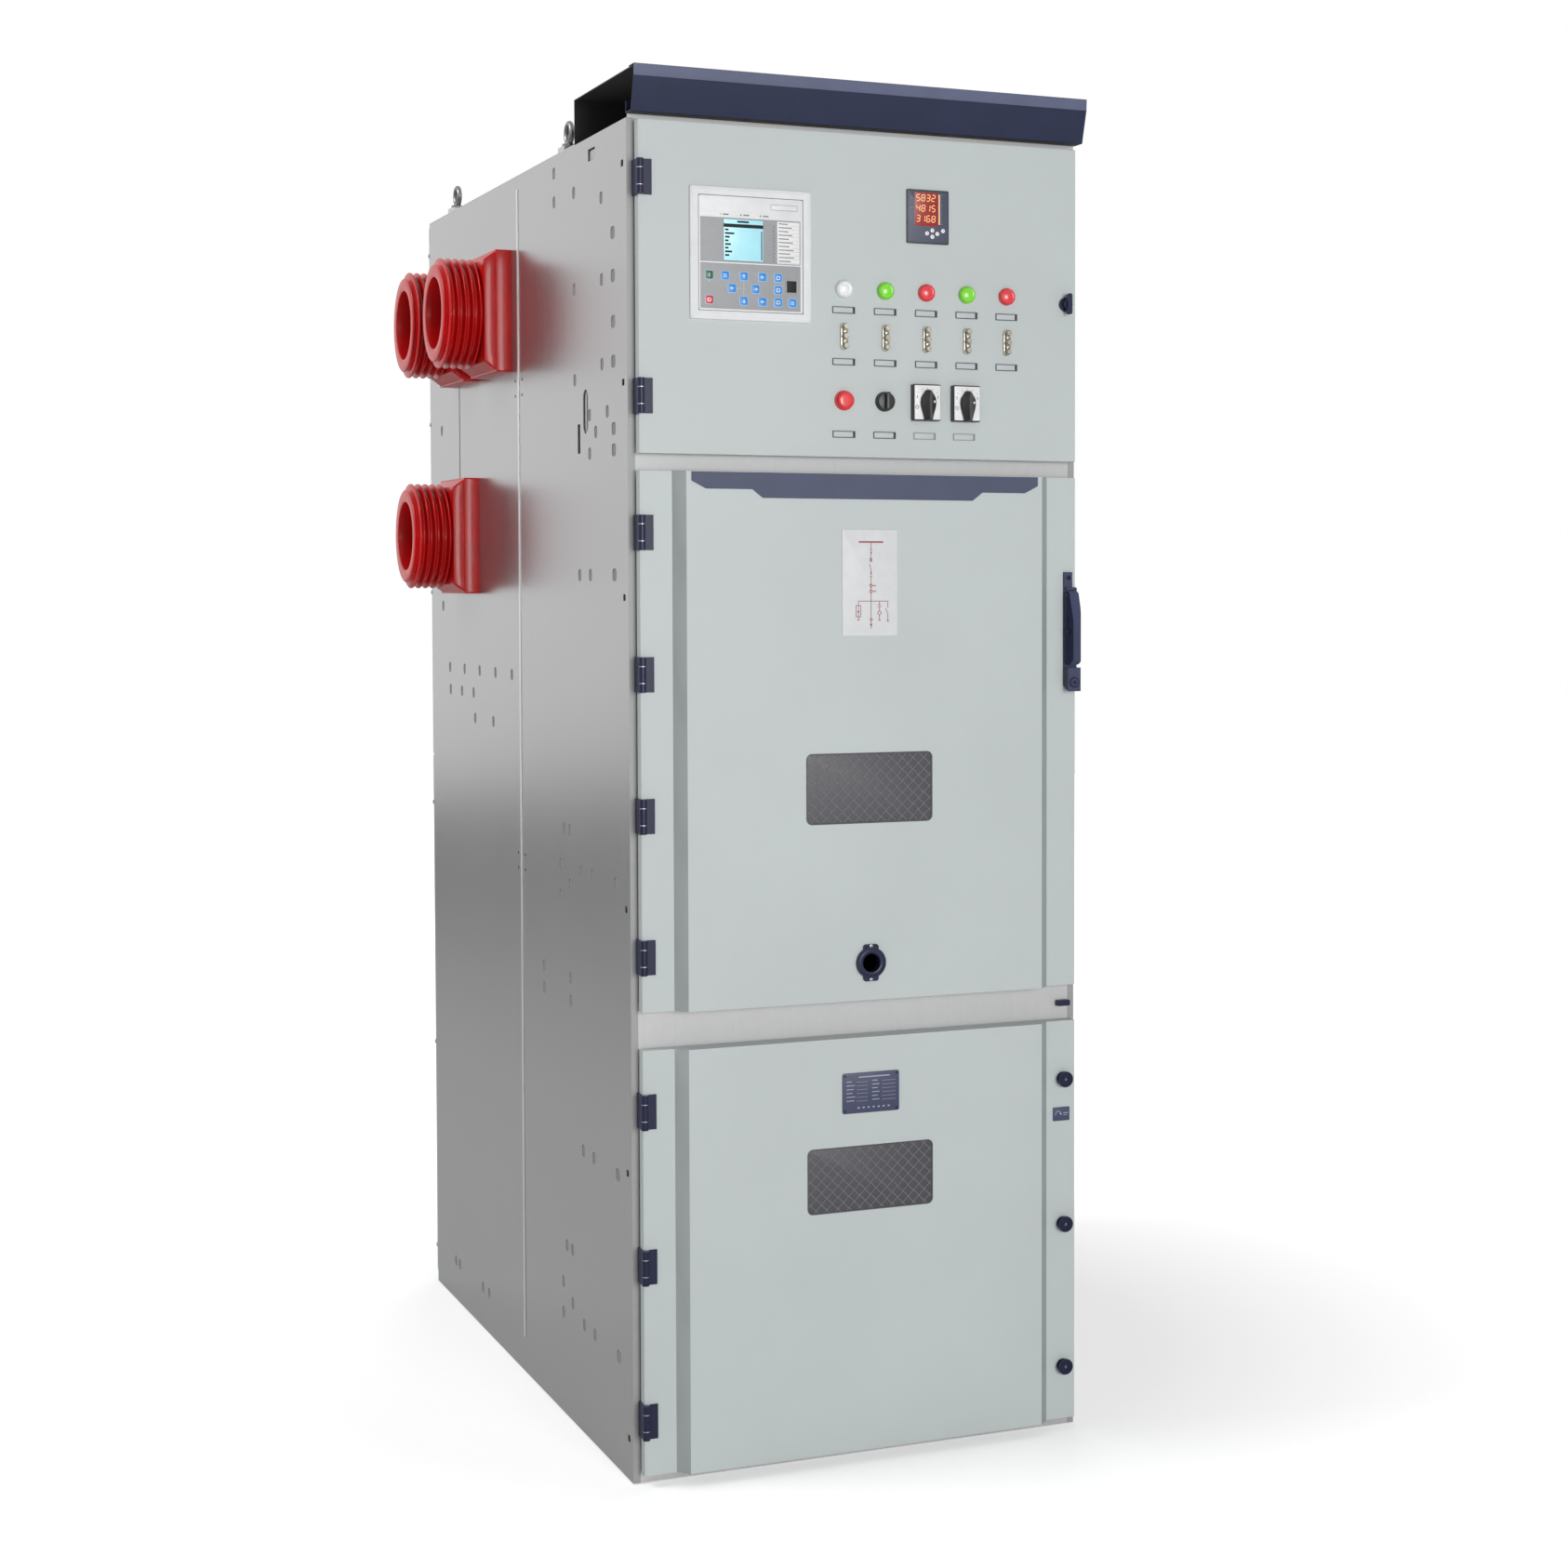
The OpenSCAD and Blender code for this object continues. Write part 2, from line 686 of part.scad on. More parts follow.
// Pane held behind a window cut-out
module window_pane(z, h) {
    color("dimgray") on_face(door_mid, raised_face + sheet_t + pane_t, z, pane_t)
        polygon(round_rect(window_w + 2 * pane_lap, h + 2 * pane_lap, window_r));
}

module breaker_window() { window_pane(breaker_window_z, breaker_window_h); }
module cable_window() { window_pane(cable_window_z, cable_window_h); }

// Flat trim under the top edge of the breaker door, stepped down towards its middle
module door_trim() {
    top = breaker_door_h - 1;
    ends = [[308.5, 0], [308.5, 15], [284, 27.5], [205, 27.5], [187, 41.5]];
    outline = concat([for (p = ends) [-p.x, -p.y]], [for (i = [4:-1:0]) [ends[i].x, -ends[i].y]]);
    color("slategray") on_face(door_mid, raised_face, breaker_z + top, plate_t) polygon(outline);
}

module mimic_plate() {
    color("white") on_face(door_mid, raised_face, mimic_z, plate_t)
        polygon(round_rect(mimic_w, mimic_h, 4));
}

// Plate in the middle of the cable door and the small one over its locks
module cable_door_plates() {
    color("midnightblue") {
        on_face(door_mid, raised_face, plate_z, plate_t) polygon(round_rect(plate_w, plate_h, 4));
        on_face(tag_x, door_face, tag_z, 1) polygon(round_rect(32, 24, 2));
    }
}

// Collar of the racking port, with a stub through the door skin and an ear above and below
module racking_port() {
    stub = sheet_t + 8;
    color("midnightblue") translate([door_mid, raised_face, port_z]) rotate([90, 0, 0]) difference() {
        union() {
            cylinder(r = port_collar_r, h = 6);
            linear_extrude(4) polygon(round_rect(27, 2 * port_collar_r + 10, 5));
            translate([0, 0, -stub]) cylinder(r = port_r + 4, h = stub + 1);
        }
        translate([0, 0, -stub - 1]) cylinder(r = port_r, h = stub + 10);
    }
}

// ---------------------------------------------------------------- swing handle

// Base: plate with a screw tab above it, a cap over the grip's pivot, and the lock block
module handle_base() {
    half = handle_w / 2;
    plate_z = handle_z + lock_slant;
    plate_top = grip_z1 + cap_gap + cap_h;
    tab_lap = 6;
    lock_front = handle_base_y - lock_block_d;
    tab_x = handle_x - half + handle_tab_w / 2;
    color("midnightblue") difference() {
        union() {
            on_face(handle_x, door_face, (plate_z + plate_top) / 2, handle_base_t)
                polygon(round_rect(handle_w, plate_top - plate_z, 2));
            on_face(tab_x, door_face, plate_top + (handle_tab_h - tab_lap) / 2, handle_base_t)
                polygon(round_rect(handle_tab_w, handle_tab_h + tab_lap, 1));
            on_face(handle_x - half + 1, door_face, plate_top, handle_base_t + 8)
                polygon([[0, -cap_h], [20, -cap_h], [20, -3], [17, 0], [0, 0]]);
            along_x(handle_x - half, handle_w)
                polygon([[door_face, plate_z], [lock_front, handle_z], [lock_front, handle_z + lock_block_h],
                         [door_face, handle_z + lock_block_h]]);
            on_face(handle_x, lock_front + 1, lock_ring_z, 3) circle(r = 9);
        }
        on_face(tab_x, door_face + 1, plate_top + handle_tab_h - 10, 20) circle(r = 4);
        on_face(handle_x, door_face + 1, turn_z, 20) circle(r = 5 + play);
        on_face(handle_x, lock_front, lock_ring_z, 3) {
            square([9, 2.5], center = true);
            square([2.5, 9], center = true);
        }
    }
}

// Turning hub: spindle through the door, disc and the lug with the pin that carries the grip
module handle_hub() {
    lug = [[hub_front + 2, turn_z - 7], [grip_back - 1, turn_z], [grip_back - 1, pivot_z],
           [pivot_y - lug_r + 0.5, pivot_z], [hub_front - 4, turn_z - 7]];
    color("lightgray") {
        on_face(handle_x, door_face + 14, turn_z, 18 + play) circle(r = 5);
        on_face(handle_x, handle_base_y - play, turn_z, handle_base_y - play - hub_front) circle(r = hub_r);
        along_x(handle_x - lug_w / 2, lug_w) {
            translate([pivot_y, pivot_z]) circle(r = lug_r);
            polygon(lug);
        }
        along_x(handle_x - 10, 18) translate([pivot_y, pivot_z]) circle(r = pivot_pin_r);
    }
}

// Space inside the grip for the hub's disc and lug
module grip_hollow() {
    foot = turn_z - hub_r - 1;
    on_face(handle_x, grip_back + 1, 0, 7) translate([-hub_r - 0.6, foot])
        square([2 * hub_r + 1.2, pivot_z - foot]);
    along_x(handle_x - lug_w / 2 - play, lug_w + 2 * play) {
        translate([pivot_y, pivot_z]) circle(r = lug_r + play);
        translate([pivot_y - lug_r, foot - 1]) square([20, pivot_z - foot + 1]);
        translate([pivot_y, pivot_z - 1]) square([20, 11]);
    }
}

// Swinging grip: a steep left flank, a ridge and a broad front that thins towards the pivot
module handle_grip() {
    y0 = grip_back;
    half = handle_w / 2;
    section = [[-half, y0], [half, y0], [half - 1.5, grip_front + 2], [-4.5, grip_front], [-half, y0 - 5]];
    side = concat(
        arc(pivot_y, pivot_z, pivot_round, 0, 90, 6),
        [[y0 - 9.5, grip_z1], [y0 - 11.5, grip_z1 - 2], [grip_front, grip_z1 - 50], [grip_front, grip_z0 + 9],
         [grip_front + 7, grip_z0], [y0, grip_z0]]);
    front = [[-half, grip_z0 + 4], [4 - half, grip_z0 - 1], [half - 5, grip_z0 - 1], [half, grip_z0 + 6],
             [half, grip_z1 - 48], [half - 3, grip_z1 - 4], [half - 5, grip_z1 + 1], [-half, grip_z1 + 1]];
    color("midnightblue") difference() {
        intersection() {
            translate([handle_x, 0, grip_z0 - 1]) linear_extrude(grip_len + 2) polygon(section);
            along_x(handle_x - half - 1, handle_w + 2) polygon(side);
            on_face(handle_x, y0 + 1, 0, grip_proud + 2) polygon(front);
        }
        grip_hollow();
        along_x(handle_x - half - 1, handle_w + 2) {
            translate([pivot_y, pivot_z]) circle(r = pivot_pin_r + 0.25);
            translate([y0 - 11, grip_z0 + 57]) circle(r = 2.5);
        }
    }
}

// ---------------------------------------------------------------- door locks and latch

module latch_base() {
    color("midnightblue") on_face(latch_x, door_face, latch_z, 4) difference() {
        circle(r = 12.25);
        circle(r = 6 + play);
    }
}

module latch_knob() {
    color("midnightblue") {
        on_face(latch_x, door_face + 12, latch_z, 16 + play + 1) circle(r = 5.5);
        on_face(latch_x, door_face - 4 - play, latch_z, 9) circle(r = 8);
        on_face(latch_x, door_face - 12, latch_z, 9) polygon(round_rect(latch_w, latch_len, 3.9));
    }
}

module lock_knob(z) {
    color("midnightblue") {
        on_face(lock_x, door_face + 12, z, 24) circle(r = lock_stem_r);
        on_face(lock_x, door_face - 11, z, 4) circle(r = lock_disc_r);
    }
}

module lock_knob_low() { lock_knob(lock_zs[0]); }
module lock_knob_middle() { lock_knob(lock_zs[1]); }
module lock_knob_high() { lock_knob(lock_zs[2]); }

// Lug of the earthing interlock on the lower frame strip
module interlock_lug() {
    color("midnightblue") on_face(hx - 24, front_y, low_strip_z + 28, 12) polygon(round_rect(24, 10, 2));
}

// ---------------------------------------------------------------- instruments

function column_at(i) = column_x + i * column_step;
function control_at(i) = column_x + i * control_step;

// Relay: flat frame on the door with a sunk face, and the case behind
module relay() {
    color("lightsteelblue") difference() {
        union() {
            hull() {
                on_face(relay_x, door_face, relay_z, 4) square([relay_w, relay_h], center = true);
                on_face(relay_x, relay_front + 1, relay_z, 1)
                    square([relay_face_w + 6, relay_face_h + 6], center = true);
            }
            on_face(relay_x, door_face + relay_case_d, relay_z, relay_case_d + 1)
                square([relay_face_w, relay_face_h], center = true);
        }
        on_face(relay_x, relay_front + relay_sink, relay_z, relay_sink + 1)
            square([relay_face_w, relay_face_h], center = true);
    }
}

// Keys of the relay in three rows: the outer two of the first column close and trip the breaker
module relay_keys() {
    s = 13;
    rows = [[-36, [-72, -45, -13, 19, 46]], [-56, [-33, 7, 46]], [-76, [-72, -13, 19, 46, 71]]];
    color("steelblue") for (r = rows) for (x = r[1])
        on_face(relay_x + x, relay_front + relay_sink, relay_z + r[0], 1.5) polygon(round_rect(s, s, 1.5));
}

module meter() {
    color("slategray") {
        on_face(meter_x, door_face, meter_z, 4) polygon(round_rect(meter_w, meter_h, 3));
        on_face(meter_x, door_face + 60, meter_z, 61) square([meter_w - 10, meter_h - 10], center = true);
    }
}

// Round cap on a door, with a sloping edge round its flat face
module bevelled_cap(x, y, z, r, h, slope) {
    translate([x, y, z]) rotate([90, 0, 0]) rotate_extrude()
        polygon([[0, 0], [r, 0], [r, h - slope], [r - slope, h], [0, h]]);
}

// Pilot lamp: flat cap in front of the door, body behind it
module lamp(i) {
    bevelled_cap(column_at(i), door_face, lamp_z, lamp_r, 11, 2.5);
    on_face(column_at(i), door_face + 35, lamp_z, 36) circle(r = 11);
}

module lamps_white() { color("white") lamp(0); }
module lamps_green() { color("limegreen") for (i = [1, 3]) lamp(i); }
module lamps_red() { color("red") for (i = [2, 4]) lamp(i); }

module label_holders() {
    color("white") for (r = [0:2]) for (i = [0:(r < 2 ? 4 : 3)])
        on_face(r < 2 ? column_at(i) : control_at(i), door_face, label_z[r], 2)
            square(label_size, center = true);
}

// Test link: three terminal posts on a base, joined by a strap
module test_links() {
    step = 16;
    color("lightgray") for (i = [0:4]) translate([column_at(i), door_face, link_z]) rotate([90, 0, 0]) {
        linear_extrude(4) polygon(round_rect(12, 2 * step + 12, 5.9));
        for (s = [-1:1]) translate([0, s * step, 0]) cylinder(r = 4.8, h = 15);
        translate([0, 0, 7]) linear_extrude(3) polygon(round_rect(7, 2 * step + 7, 3.4));
    }
}

// Bases of the push-button, hollow for its plunger, and of the selector
module control_bases() {
    color("dimgray") {
        difference() {
            union() {
                on_face(control_at(0), door_face, control_z, 5) circle(r = 17.5);
                on_face(control_at(0), door_face + 35, control_z, 36) circle(r = 13);
            }
            on_face(control_at(0), door_face + 8, control_z, 20) circle(r = 10 + play);
        }
        on_face(control_at(1), door_face, control_z, 6) circle(r = 17);
        on_face(control_at(1), door_face + 35, control_z, 36) circle(r = 11);
    }
}

module stop_button() {
    color("red") {
        on_face(control_at(0), door_face + 3, control_z, 13) circle(r = 10);
        bevelled_cap(control_at(0), door_face - 9.5, control_z, 15, 5, 2);
    }
}

module selector_knob() {
    color("black") {
        on_face(control_at(1), door_face - 6 - play, control_z, 6) circle(r = 16);
        on_face(control_at(1), door_face - 11, control_z, 12) polygon(round_rect(8, 31, 3));
    }
}

module switch_plates() {
    color("white") for (i = [2, 3]) {
        on_face(control_at(i), door_face, control_z, switch_d) polygon(round_rect(switch_w, switch_h, 2));
        on_face(control_at(i), switch_front + 2, control_z, 2)
            polygon(round_rect(switch_w - 1, switch_h - 3, 2));
        on_face(control_at(i), door_face + 70, control_z, 68) square([44, 44], center = true);
        on_face(control_at(i), door_face + 3, control_z, 4) circle(r = 8);
    }
}

// Handle of a rotary switch: wide in the middle, narrow at the top, with a ridge down its front
module switch_handle(i) {
    z = control_z;
    right = [[6.5, -30], [9, -20], [12.5, -8], [13.5, 0], [12.5, 8], [4, 21]];
    outline = concat(right, [for (k = [5:-1:0]) [-right[k].x, right[k].y]]);
    color("black") {
        on_face(control_at(i), switch_front - play, z, 10) polygon(outline);
        on_face(control_at(i), switch_front - 9, z - 4.5, 7) polygon(round_rect(5, 46, 2));
    }
}

module switch_handle_left() { switch_handle(2); }
module switch_handle_right() { switch_handle(3); }

// ---------------------------------------------------------------- nodes

floor_tray();
corner_posts();
cross_rails();
left_wall_front();
left_wall_rear();
right_wall_front();
right_wall_rear();
seam_strips();
middle_partition();
compartment_floors();
lv_back();
rear_covers();
header_fascia();
duct_hood();
roof_plate();
relief_flaps();
lifting_eyes();
bushing_front_upper();
bushing_rear_upper();
bushing_rear_lower();
frame_hinges();
hinge_washers();
interlock_lug();
lv_door_panel();
lv_door_hinges();
relay();
relay_keys();
meter();
lamps_white();
lamps_green();
lamps_red();
label_holders();
test_links();
control_bases();
switch_plates();
latch_base();
stop_button();
selector_knob();
switch_handle_left();
switch_handle_right();
latch_knob();
breaker_door_panel();
breaker_door_hinges();
breaker_window();
door_trim();
mimic_plate();
racking_port();
handle_base();
handle_hub();
handle_grip();
cable_door_panel();
cable_door_hinges();
cable_window();
cable_door_plates();
lock_knob_low();
lock_knob_middle();
lock_knob_high();
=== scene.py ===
# %% [markdown]
# # A metal-clad switchgear cubicle
# The cubicle is a tall steel cabinet: folded side walls, three hinged doors, a navy header, and three
# ribbed resin bushings on its left wall. Its sizes and joints come ready made, as a fixed frame of plain
# solids. This script gives those solids their looks: eased edges, fasteners, instruments and finishes.
# The shapes are drawn in millimetres, and turned into metres at the moment a mesh is made. The camera and
# the lamps are placed in metres.

# %% Load the fixed frame
import json
import bmesh
import bpy
import numpy as np
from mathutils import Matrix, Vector


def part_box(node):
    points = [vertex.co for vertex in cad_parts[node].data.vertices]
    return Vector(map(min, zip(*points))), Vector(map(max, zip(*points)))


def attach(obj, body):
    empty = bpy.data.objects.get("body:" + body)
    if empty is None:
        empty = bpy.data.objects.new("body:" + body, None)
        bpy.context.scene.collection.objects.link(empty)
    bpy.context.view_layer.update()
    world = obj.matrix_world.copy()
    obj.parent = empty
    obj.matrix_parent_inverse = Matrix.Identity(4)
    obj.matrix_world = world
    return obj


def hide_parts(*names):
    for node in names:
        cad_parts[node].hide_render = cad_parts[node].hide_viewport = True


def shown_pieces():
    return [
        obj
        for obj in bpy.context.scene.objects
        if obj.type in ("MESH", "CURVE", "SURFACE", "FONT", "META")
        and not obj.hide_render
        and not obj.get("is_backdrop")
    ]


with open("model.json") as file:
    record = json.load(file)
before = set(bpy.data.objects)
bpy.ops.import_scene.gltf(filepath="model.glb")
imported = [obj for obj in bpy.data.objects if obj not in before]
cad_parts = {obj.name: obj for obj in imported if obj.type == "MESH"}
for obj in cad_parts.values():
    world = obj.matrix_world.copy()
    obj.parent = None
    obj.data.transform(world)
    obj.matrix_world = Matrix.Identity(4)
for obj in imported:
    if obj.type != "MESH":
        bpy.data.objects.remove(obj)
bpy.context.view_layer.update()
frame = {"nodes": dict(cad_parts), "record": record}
record = frame["record"]
scene = bpy.context.scene
body_of = {node: body for body, nodes in record["behaviour"]["bodies"].items() for node in nodes}


def add_object(name, data):
    """A new object in the scene, round a mesh, a lamp or a camera."""
    obj = bpy.data.objects.new(name, data)
    scene.collection.objects.link(obj)
    return obj


# %% [markdown]
# ## Camera
# A product shot of a tall cabinet is taken from far away and about two thirds up, so that its uprights
# stay upright. The camera stands left of the cabinet and looks slightly down. The cabinet is off the
# middle of the picture, which a lens shift gives without turning the camera.

# %% Camera
camera_data = bpy.data.cameras.new("camera")
camera_data.sensor_width = 36.0
camera_data.lens = 62.53
camera_data.shift_x, camera_data.shift_y = -0.1474, -0.0585
camera_data.clip_start, camera_data.clip_end = 0.1, 60.0
camera = scene.camera = add_object("camera", camera_data)
camera.location = (-1.6604, -4.9942, 1.4751)
camera.rotation_euler = np.radians([87.722, 0.0, -24.503])
scene.view_settings.view_transform = "Standard"
print("camera:", camera_data.lens, "mm lens at", tuple(round(v, 2) for v in camera.location))

# %% [markdown]
# ## Shader maths as plain Python
# A procedural finish is a small sum: some noise, scaled, added to a colour or a roughness. Written with
# node calls it becomes unreadable, so one class wraps an output socket. Adding, multiplying or
# subtracting two signals adds the Math node that does it, and `make` adds any other node.

# %% The signal class
class Signal:
    """An output socket of a material, or nothing yet, with arithmetic that adds Math nodes."""

    def __init__(self, tree, socket=None):
        self.tree, self.socket = tree, socket

    def make(self, kind, inputs=None, output=0, **settings):
        """Adds a node: first its settings, then the values or links of its sockets."""
        node = self.tree.nodes.new(kind)
        for name, value in settings.items():
            setattr(node, name, value)
        self.wire(node, inputs or {})
        return Signal(self.tree, node.outputs[output])

    def wire(self, node, inputs):
        """Sets or links the named sockets of a node."""
        for name, value in inputs.items():
            if isinstance(value, Signal):
                self.tree.links.new(value.socket, node.inputs[name])
            else:
                node.inputs[name].default_value = value

    def math(self, operation, *values):
        return self.make("ShaderNodeMath", dict(enumerate(values)), operation=operation)

    def __add__(self, other):
        return self.math("ADD", self, other)

    def __sub__(self, other):
        return self.math("SUBTRACT", self, other)

    def __rsub__(self, other):
        return self.math("SUBTRACT", other, self)

    def __mul__(self, other):
        return self.math("MULTIPLY", self, other)

    def __truediv__(self, other):
        return self.math("DIVIDE", self, other)

    __radd__, __rmul__ = __add__, __mul__

    def above(self, edge, softness):
        """0 below the edge and 1 above it, with a straight ramp of that softness between."""
        ramp = (self - edge) / softness + 0.5
        return ramp.math("MINIMUM", ramp.math("MAXIMUM", ramp, 0.0), 1.0)

    def where(self):
        """The place of a point, in metres."""
        return self.make("ShaderNodeTexCoord", output="Object")

    def noise(self, size, detail=2.0, stretch=(1, 1, 1), roughness=0.5):
        """Smooth noise whose lumps are about size millimetres across, stretched along the axes."""
        scale = tuple(1000.0 / (size * s) for s in stretch)
        place = self.make("ShaderNodeMapping", {"Vector": self.where(), "Scale": scale})
        return place.make("ShaderNodeTexNoise", {
            "Vector": place, "Scale": 1.0, "Detail": detail, "Roughness": roughness})

    def cells(self, size):
        """Patches about size millimetres across, each with a tone of its own."""
        patches = {"Vector": self.where(), "Scale": 1000.0 / size}
        tint = self.make("ShaderNodeTexVoronoi", patches, "Color")
        return self.make("ShaderNodeSeparateColor", {"Color": tint})

    def height_share(self, low, high):
        """1 at the low height and 0 at the high one, both in metres."""
        height = self.make("ShaderNodeSeparateXYZ", {"Vector": self.where()}, "Z")
        return 1.0 - height.above((low + high) / 2, high - low)

    def between(self, low, high):
        """A colour between two others: the signal is the share of the second."""
        return self.make("ShaderNodeMix", {0: self, 6: low, 7: high}, 2, data_type="RGBA")

    def shades(self, colour, low, high):
        """Shares of one colour: the low share where the signal is 0, and the high one where it is 1."""
        return self.between(paint(*colour, low), paint(*colour, high))

    def bump(self, depth, strength):
        """Turns a height signal into a normal, for lumps that are depth millimetres high."""
        return self.make("ShaderNodeBump", {"Height": self, "Distance": depth * 0.001, "Strength": strength})


def paint(r, g, b, share=1.0):
    """A colour on the 0 to 255 scale of a paint chart, times a share, as linear light."""
    c = np.clip(np.array([r, g, b]) * share / 255, 0, 1)
    linear = np.where(c <= 0.04045, c / 12.92, ((c + 0.055) / 1.055) ** 2.4)
    return (*linear.tolist(), 1.0)


def start_finish(name):
    """A new material: its Principled shader, and a signal to start from."""
    material = bpy.data.materials.new(name)
    material.use_nodes = True
    return material, material.node_tree.nodes["Principled BSDF"], Signal(material.node_tree)


print("signal class ready; a mid grey chip is", [round(v, 3) for v in paint(128, 128, 128)[:3]])

# %% [markdown]
# ## Studio
# The cubicle stands on a plain pale floor in front of white. The world is white to the camera, and to
# mirrors and glass, but gives the object only part of that light. A broad soft lamp in front does most
# of the work, because the fronts of the doors are the brightest faces and the slopes beside them are
# darker. A weak lamp on the left lifts the galvanised wall.

# %% World, floor and lamps
daylight = 0.24
world = bpy.data.worlds.new("white_studio")
world.use_nodes = True
scene.world = world
sky = Signal(world.node_tree)


def seen_directly(signal):
    """1 where the camera, a mirror or a glass looks at this surface, and 0 for all other light."""
    kinds = ("Is Camera Ray", "Is Glossy Ray", "Is Transmission Ray")
    first, second, third = [signal.make("ShaderNodeLightPath", output=kind) for kind in kinds]
    return signal.math("MINIMUM", first + second + third, 1.0)


background = world.node_tree.nodes["Background"]
sky.wire(background, {"Color": (1, 1, 1, 1), "Strength": seen_directly(sky) * (1 - daylight) + daylight})

floor_material, floor_shader, start = start_finish("studio_floor")
floor_shader.inputs["Base Color"].default_value = paint(236, 236, 236)
floor_shader.inputs["Roughness"].default_value = 0.9
# The floor shows the shadows near the cubicle, and melts into the white between 0.8 and 2.6 m from it.
far_away = start.make("ShaderNodeVectorMath", {0: start.where()}, 1, operation="LENGTH").above(1.7, 1.8)
near_glow, added_glow = 0.42, 0.6
start.wire(floor_shader, {
    "Emission Color": (1, 1, 1, 1),
    "Emission Strength": (far_away * added_glow + near_glow)
    * start.make("ShaderNodeLightPath", output="Is Camera Ray")})
reach, sunk = 14, 0.001
corners = [(x * reach, y * reach, -sunk) for x, y in ((-1, -1), (1, -1), (1, 1), (-1, 1))]
floor_mesh = bpy.data.meshes.new("floor")
floor_mesh.from_pydata(corners, [], [(0, 1, 2, 3)])
floor_mesh.materials.append(floor_material)
floor = add_object("floor", floor_mesh)
floor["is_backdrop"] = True


def lamp(name, watts, size, place, aim):
    """A square area lamp at a place, turned to face a point."""
    data = bpy.data.lights.new(name, "AREA")
    data.shape, data.size, data.energy = "SQUARE", size, watts
    obj = add_object(name, data)
    obj.location = place
    obj.rotation_euler = (Vector(aim) - obj.location).to_track_quat("-Z", "Y").to_euler()
    return obj


lamp("front_lamp", 440, 3.0, (0.3, -9.5, 1.9), (0, -0.7, 1.2))
lamp("left_lamp", 150, 2.4, (-4.5, 0.6, 5.0), (-0.4, 0.0, 2.0))
# The zinc of the right wall would show this lamp as a burnt patch, so mirrors do not see it.
lamp("rear_lamp", 90, 3.0, (2.5, 6.0, 3.5), (0, 0.7, 1.2)).visible_glossy = False

# %% [markdown]
# ## Finishes
# Three finishes cover most of the cubicle. The doors have a light grey powder coat: matt, with the faint
# orange peel that the powder leaves when it melts. The walls are bare hot-dip galvanised sheet, which
# shows soft vertical streaks from the rolling mill, a faint crystal pattern, and a dull metal shine.
# The hinges, the handle and the header are navy enamel. Small noise in colour and roughness keeps each
# of them from looking like plastic, and a bump gives the coat its skin.

# %% Painted and galvanised sheet
def powder_coat(name, colour, roughness=0.42, peel=0.05, drift=0.02):
    """Paint melted from powder: an even colour that drifts a little, and a fine orange peel."""
    material, shader, start = start_finish(name)
    cloud = start.noise(260, 3)
    fine = start.noise(1.6, 2)
    tone = cloud.above(0.5, 0.5) * 0.8 + fine * 0.2
    start.wire(shader, {
        "Base Color": tone.shades(colour, 1 - drift, 1 + drift * 0.6),
        "Roughness": cloud * 0.08 + fine * 0.06 + (roughness - 0.07),
        "Coat Weight": 0.08, "Coat Roughness": 0.35, "Specular IOR Level": 0.32,
        "Normal": fine.bump(peel, 0.35)})
    return material


def galvanised_sheet(name, light, dark, metal=0.55, streak=(1, 1, 60), roughness=0.38, foot=0.0):
    """Zinc on rolled sheet: streaks along the rolling direction over a faint crystal pattern.
    Towards the foot of a wall the colour is darker, by the share foot below 1.5 m: painted shade."""
    material, shader, start = start_finish(name)
    streaks = start.noise(5, 3, streak, 0.6)
    crystals = start.cells(11)
    cloud = start.noise(420, 2)
    tone = (streaks * 0.5 + crystals * 0.12 + cloud * 0.44).above(0.54, 0.9)
    shader.inputs["Metallic"].default_value = metal
    # Painted shade: the tone drops towards the foot of the wall.
    start.wire(shader, {
        "Base Color": (tone - start.height_share(0.1, 1.5) * foot).between(paint(*dark), paint(*light)),
        "Roughness": tone * 0.12 + (roughness - 0.06),
        "Normal": streaks.bump(0.03, 0.2)})
    return material


def enamel(name, colour, roughness=0.3, grain=1.2, coat=0.35, shine=0.4):
    """Stoved enamel on a small part: deep colour, a thin gloss coat, and dust-fine grain."""
    material, shader, start = start_finish(name)
    fine, cloud = start.noise(grain, 2), start.noise(60, 2)
    start.wire(shader, {
        "Base Color": (cloud * 0.7 + fine * 0.3).shades(colour, 0.9, 1.1),
        "Roughness": fine * 0.1 + cloud * 0.08 + (roughness - 0.09),
        "Coat Weight": coat, "Coat Roughness": 0.18, "Specular IOR Level": shine,
        "Normal": fine.bump(0.03, 0.4)})
    return material


door_coat = powder_coat("door_grey_coat", (191, 198, 198))
# The two darker tones of the door coat are painted shade, for the slopes that turn away from the lamps.
painted_shade_slopes = powder_coat("door_grey_painted_slope_shade", (163, 169, 169))
painted_shade_far_slopes = powder_coat("door_grey_painted_far_slope_shade", (152, 160, 160))
# The wall's zinc is painted a darker shade towards its foot.
zinc_wall = galvanised_sheet("galvanised_wall", (172, 172, 173), (160, 160, 161), metal=0.85, roughness=0.25,
                             foot=0.6)
zinc_across = galvanised_sheet("galvanised_across", (204, 204, 203), (184, 184, 183), streak=(60, 1, 1))
frame_zinc = galvanised_sheet("frame_zinc", (196, 196, 196), (182, 182, 182), metal=0.1, roughness=0.5)
folded_edge = galvanised_sheet("folded_edge", (160, 160, 160), (146, 146, 146), metal=0.05, roughness=0.5)
bare_edge = galvanised_sheet("bright_edge", (224, 224, 224), (208, 208, 208), metal=0.5, roughness=0.3)
navy = enamel("navy_enamel", (32, 35, 62), roughness=0.34, coat=0.06, shine=0.2)
